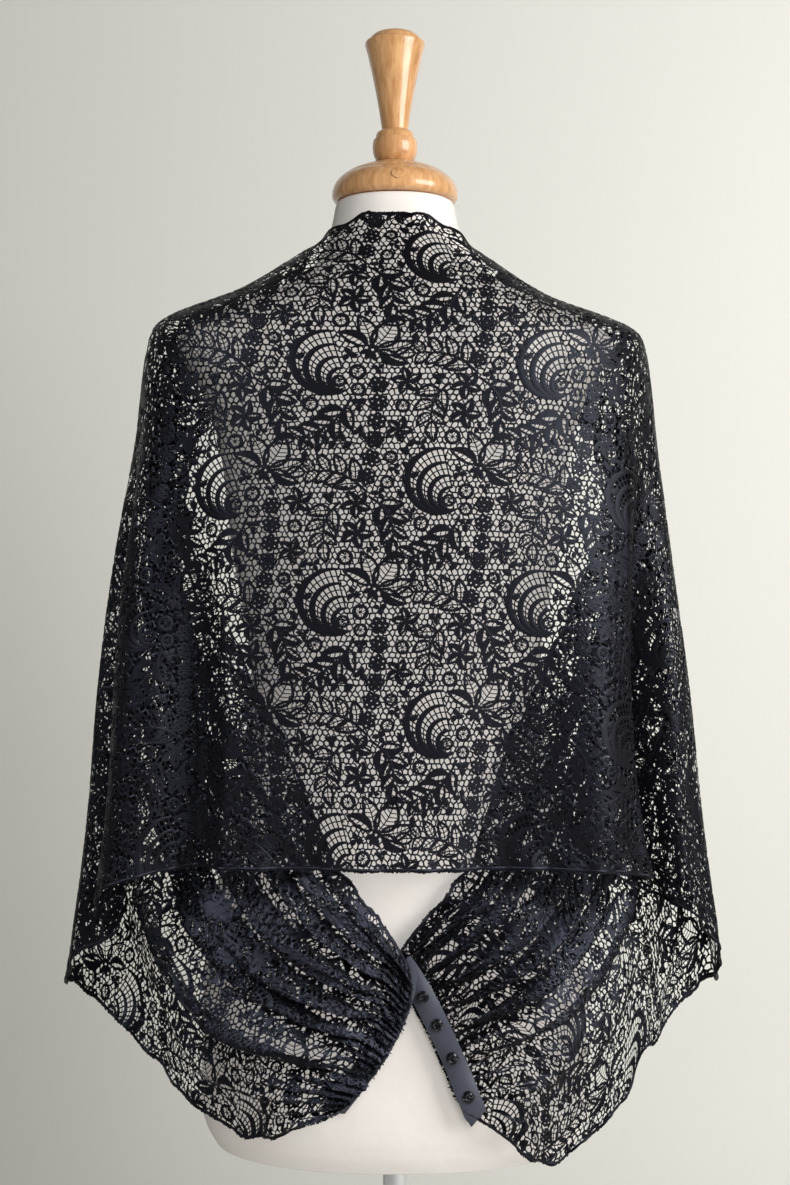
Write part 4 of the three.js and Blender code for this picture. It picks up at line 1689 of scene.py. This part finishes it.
def turned(name: str, profile: tuple, segments: int = 64) -> bpy.types.Object:
    """Turn a solid about Z, ring by ring.

    Args:
        name: Name of the piece.
        profile: Radius and height of each ring in millimetres, from the lowest.
        segments: Corners of a ring.

    Returns:
        The turned object, its place in its mesh.
    """
    deselect_all()
    radius, height = profile[0]
    bpy.ops.mesh.primitive_circle_add(
        vertices=segments, radius=radius * MM, fill_type="NGON", location=(0, 0, height * MM)
    )
    made = bpy.context.object
    made.name = name
    bpy.ops.object.mode_set(mode="EDIT")
    bpy.ops.mesh.select_all(action="SELECT")
    for r, z in profile[1:]:
        bpy.ops.mesh.extrude_region_move(TRANSFORM_OT_translate={"value": (0, 0, (z - height) * MM)})
        bpy.ops.transform.resize(value=(r / radius, r / radius, 1), center_override=(0, 0, z * MM))
        radius, height = r, z
    bpy.ops.mesh.select_all(action="SELECT")
    bpy.ops.mesh.remove_doubles(threshold=1e-6)
    bpy.ops.mesh.normals_make_consistent(inside=False)
    bpy.ops.object.mode_set(mode="OBJECT")
    bpy.ops.object.transform_apply(location=True, rotation=True, scale=True)
    bpy.ops.object.shade_smooth_by_angle(angle=math.radians(38))
    return made


@dataclass
class DressForm:
    """Limbless covered form with a turned neck, on a pole and a round base."""

    power: float = 2.2
    rings: int = 200
    segments: int = 144
    seam_width: float = 3.2
    seam_height: float = 0.9
    hem_at: float = 352.0
    levels: Table = field(
        default_factory=lambda: Table(
            "z half_width back front",
            [
                (330, 160, 103, 96), (342, 167, 110, 103), (400, 172, 116, 108), (470, 171, 118, 108),
                (560, 158, 111, 102), (650, 138, 98, 94), (720, 128, 91, 90), (790, 134, 95, 99),
                (865, 147, 102, 117), (930, 154, 105, 108), (985, 168, 101, 83), (1021, 187, 91, 62),
                (1042.4, 195, 82, 50), (1061, 168, 76, 43), (1081.2, 121, 72, 40), (1099, 85, 68, 42),
                (1118, 66, 62, 47), (1138, 58, 56, 53), (1166, 52, 52, 52),
            ],
        )
    )
    cap_profile: tuple = (
        (47.0, 1167.4), (51.5, 1167.0), (54.6, 1168.2), (56.2, 1170.6), (56.6, 1173.5), (56.3, 1176.6),
        (55.2, 1180.4), (53.2, 1184.2), (50.4, 1187.6), (46.4, 1190.8), (45.2, 1191.0), (44.4, 1192.2),
        (38.0, 1195.6), (30.0, 1198.9), (22.0, 1201.4), (16.0, 1203.2),
    )
    finial_profile: tuple = (
        (15.0, 1203.6), (17.0, 1205.4), (18.8, 1208.6), (19.9, 1212.6), (20.2, 1217.0), (19.9, 1221.4),
        (19.2, 1223.4), (17.4, 1223.7), (17.2, 1224.6), (17.1, 1227.6), (16.2, 1229.8), (14.4, 1231.0),
        (12.6, 1231.4), (11.9, 1232.4), (12.2, 1236.0), (14.3, 1250.0), (17.2, 1266.0), (20.6, 1283.0),
        (24.0, 1298.0), (26.2, 1306.0), (27.0, 1308.8), (26.4, 1310.9), (24.2, 1312.2), (23.0, 1312.4),
        (22.6, 1313.6), (21.6, 1315.6), (18.6, 1318.0), (13.4, 1320.0), (6.0, 1321.2), (0.6, 1321.3),
    )
    pole_profile: tuple = (
        (10.4, 9.3), (11.0, 10.0), (11.0, 120.0), (11.0, 220.0), (11.0, 316.0), (10.9, 328.9),
        (10.5, 329.7),
    )
    base_profile: tuple = (
        (158.5, 0.0), (159.6, 0.5), (160.0, 1.8), (160.0, 5.6), (159.4, 7.3), (157.8, 8.4), (155.0, 9.0),
        (60.0, 9.0), (16.0, 9.0), (4.0, 9.0),
    )

    def torso(self, material: bpy.types.Material) -> bpy.types.Object:
        """Make the covered torso, with side seams and the stitched line of its lower hem.

        Args:
            material: Finish of the cover.

        Returns:
            The torso.
        """
        rounding = [330.0, 330.6, 332.0, 334.5, 338.0]
        z = np.concatenate([rounding, np.linspace(342, 1164.6, self.rings), [1166.0]])
        turn = np.linspace(0, 2 * np.pi, self.segments, endpoint=False)
        wide, back, front = (self.levels.fair(name, z)[:, None] for name in ("half_width", "back", "front"))
        bend = 2 / self.power
        cos, sin = (np.sign(v) * np.abs(v) ** bend for v in (np.cos(turn), np.sin(turn)))
        tuck = np.where(z > 1165.5, 0.955, 1.0)[:, None]
        x, y = wide * cos * tuck, np.where(np.sin(turn) < 0, back, front) * sin * tuck
        seam = ridge(y, self.seam_width) * self.seam_height
        hem = -0.8 * ridge(z - self.hem_at, 3.0)[:, None] * np.ones_like(x)
        radius = np.hypot(x, y)
        grow = 1 + (seam + hem) / np.maximum(radius, 1)
        rings = np.stack([x * grow, y * grow, np.broadcast_to(z[:, None], x.shape)], axis=2)
        count = self.segments
        k, m = np.mgrid[0 : len(z) - 1, 0:count]
        n = (m + 1) % count
        sides = np.stack([k * count + m, k * count + n, (k + 1) * count + n, (k + 1) * count + m], axis=2)
        size = len(z) * count
        points = np.concatenate([rings.reshape(-1, 3), [[0, 0, z[0]], [0, 0, z[-1]]]])
        low, ring = np.arange(count), (np.arange(count) + 1) % count
        none = np.full(count, -1)
        caps = [
            np.stack([ring, low, np.full(count, size), none], axis=1),
            np.stack([size - count + low, size - count + ring, np.full(count, size + 1), none], axis=1),
        ]
        faces = np.concatenate([sides.reshape(-1, 4), *caps])
        made = mesh_object("torso_cover", points * MM, faces, {})
        settle(made, material, ["form_torso"])
        return made

    def plug(self, material: bpy.types.Material) -> bpy.types.Object:
        """Set the round wooden plug into the slope of the neck cap.

        Args:
            material: Finish of the wood.

        Returns:
            The plug.
        """
        deselect_all()
        bpy.ops.mesh.primitive_cylinder_add(
            vertices=32, radius=5.4 * MM, depth=2.4 * MM, end_fill_type="NGON"
        )
        made = bpy.context.object
        made.name = "cap_plug"
        bevel = made.modifiers.new("edge", "BEVEL")
        bevel.width, bevel.segments = 0.5 * MM, 3
        bpy.ops.object.modifier_apply(modifier=bevel.name)
        made.rotation_euler = (math.radians(62), 0.0, 0.0)
        made.location = (2.2 * MM, -54.6 * MM, 1180.4 * MM)
        bpy.ops.object.transform_apply(location=True, rotation=True, scale=True)
        bpy.ops.object.shade_smooth_by_angle(angle=math.radians(40))
        settle(made, material, [])
        return made

    def build(
        self, cover: bpy.types.Material, wood: bpy.types.Material, chrome: bpy.types.Material
    ) -> list[bpy.types.Object]:
        """Make the whole form.

        Args:
            cover: Finish of the cover.
            wood: Finish of the turned neck.
            chrome: Finish of the pole and base.

        Returns:
            Its pieces.
        """
        made = [self.torso(cover)]
        for name, profile, material, slot, node in (
            ("cap_turned", self.cap_profile, wood, "wood", "neck_cap"),
            ("finial_turned", self.finial_profile, wood, "wood", "neck_finial"),
            ("pole_tube", self.pole_profile, chrome, "chrome", "stand_pole"),
            ("base_plate", self.base_profile, chrome, "chrome", "stand_base"),
        ):
            made.append(turned(name, profile, 96 if slot == "chrome" else 72))
            settle(made[-1], material, [node])
        made.append(self.plug(wood))
        return made


class Studio:
    """Camera, light, floor and wall."""

    def camera(self) -> None:
        """Set the camera level behind the form, as in the photograph."""
        data = bpy.data.cameras.new("camera")
        data.lens, data.sensor_width = 50.0, 36.0
        made = bpy.data.objects.new("camera", data)
        made.location = (0.0, -1.48, 0.817)
        made.rotation_euler = (math.radians(90), 0.0, 0.0)
        bpy.context.scene.collection.objects.link(made)
        bpy.context.scene.camera = made

    def area_light(
        self, name: str, place: tuple, target: tuple, size: float, power: float, colour: str,
        spread: float = 180,
    ) -> bpy.types.Object:
        """Hang one soft light.

        Args:
            name: Its name.
            place: Where it hangs.
            target: What it points at.
            size: Side of its square.
            power: Watts.
            colour: Its sRGB colour.
            spread: Angle of its beam in degrees.

        Returns:
            The light.
        """
        data = bpy.data.lights.new(name, "AREA")
        data.size, data.energy, data.color = size, power, linear(colour)[:3]
        data.spread = math.radians(spread)
        made = bpy.data.objects.new(name, data)
        made.location = place
        aim = np.array(target) - np.array(place)
        across = math.hypot(aim[0], aim[1])
        made.rotation_euler = (math.atan2(across, -aim[2]), 0.0, math.atan2(-aim[0], aim[1]))
        bpy.context.scene.collection.objects.link(made)
        return made

    @staticmethod
    def linked(name: str, pieces: list[bpy.types.Object], state: str) -> bpy.types.Collection:
        """A collection that a light takes its pieces in or leaves them out by.

        Args:
            name: Its name.
            pieces: Objects the light minds.
            state: INCLUDE or EXCLUDE.

        Returns:
            The collection.
        """
        made = bpy.data.collections.new(name)
        for piece in pieces:
            made.objects.link(piece)
        for entry in made.collection_objects:
            entry.light_linking.link_state = state
        return made

    def backdrop(self) -> list[bpy.types.Object]:
        """Lay the pale floor and raise the wall behind the form from its far edge, through a cove.

        Returns:
            The floor and the wall.
        """
        paint = MattPaint().material()
        deselect_all()
        bpy.ops.mesh.primitive_plane_add(size=14.0, location=(0, 0, -0.002))
        floor = bpy.context.object
        floor.name = "floor"
        floor.data.materials.append(paint)
        deselect_all()
        bpy.ops.mesh.primitive_plane_add(size=2.4, location=(0, 0.55 - 1.2, -0.001))
        wall = bpy.context.object
        wall.name = "wall"
        bpy.ops.object.mode_set(mode="EDIT")
        bpy.ops.mesh.select_mode(type="EDGE")
        bpy.ops.mesh.select_all(action="DESELECT")
        bpy.ops.object.mode_set(mode="OBJECT")
        for edge in wall.data.edges:
            edge.select = all(wall.data.vertices[k].co.y > 1.1 for k in edge.vertices)
        bpy.ops.object.mode_set(mode="EDIT")
        steps, radius = 10, 0.22
        for k in range(steps):
            first, last = (0.5 * math.pi * (k + n) / steps for n in (0, 1))
            out, up = math.sin(last) - math.sin(first), math.cos(first) - math.cos(last)
            move = {"value": (0, radius * out, radius * up)}
            bpy.ops.mesh.extrude_region_move(TRANSFORM_OT_translate=move)
        bpy.ops.mesh.extrude_region_move(TRANSFORM_OT_translate={"value": (0, 0, 2.4)})
        bpy.ops.object.mode_set(mode="OBJECT")
        bpy.ops.object.transform_apply(location=True, rotation=True, scale=True)
        bpy.ops.object.shade_smooth()
        wall.data.materials.append(paint)
        return [floor, wall]

    def build(
        self, form: list[bpy.types.Object], lace: list[bpy.types.Object], tapes: list[bpy.types.Object]
    ) -> None:
        """Make the studio; the front light passes the lace, so that the cover shows bright through it.

        Args:
            form: Pieces of the dress form.
            lace: Pieces of the shawl.
            tapes: Its tapes.
        """
        bpy.context.scene.view_settings.view_transform = "Standard"
        self.camera()
        self.area_light("window", (1.5, -1.0, 1.35), (0.0, 0.3, 0.85), 1.2, 34, "#fffdfa")
        front = self.area_light("front", (0.35, -2.7, 1.4), (0, 0, 0.8), 1.4, 40, "#ffffff")
        sheen = [
            self.area_light(name, (x, -0.75, 1.5), (0, -0.14, 0.45), 0.5, power, "#eef2fb", 45)
            for name, x, power in (("sheen_right", 0.75, 2.1), ("sheen_left", -0.75, 1.6))
        ]
        wash = self.area_light("wall_wash", (0.3, -1.2, 2.4), (0, 0.77, 0.9), 1.4, 11, "#fffefa")
        world = bpy.data.worlds.new("room")
        world.use_nodes = True
        background = world.node_tree.nodes["Background"]
        background.inputs["Color"].default_value = linear("#e9e9e6")
        seen = add_node(world.node_tree, "ShaderNodeLightPath").outputs["Is Camera Ray"]
        limits = {"Value": seen, "To Min": 0.14, "To Max": 0.7}
        strength = add_node(world.node_tree, "ShaderNodeMapRange", limits)
        world.node_tree.links.new(strength.outputs["Result"], background.inputs["Strength"])
        bpy.context.scene.world = world
        wash.light_linking.receiver_collection = self.linked("lit_by_wash", self.backdrop(), "INCLUDE")
        front.visible_glossy = False
        front.light_linking.receiver_collection = self.linked("lit_by_front", form, "INCLUDE")
        front.light_linking.blocker_collection = self.linked("clear_to_front", lace, "EXCLUDE")
        for light in sheen:
            lit = self.linked(f"lit_by_{light.name}", lace + tapes, "INCLUDE")
            light.light_linking.receiver_collection = lit


def main() -> None:
    """Build the scene piece by piece."""
    logging.basicConfig(level=logging.INFO, format="%(name)s %(message)s")
    form = DressForm().build(
        JerseyCover().material(), LacqueredBeech().material(), ChromePlate().material()
    )
    lace = Shawl().build(LaceThread().material(), form[0])
    tapes = SnapTapes().build(SatinTape().material(), LacqueredSteel().material())
    Studio().build(form, lace, tapes)


if __name__ == "__main__":
    main()
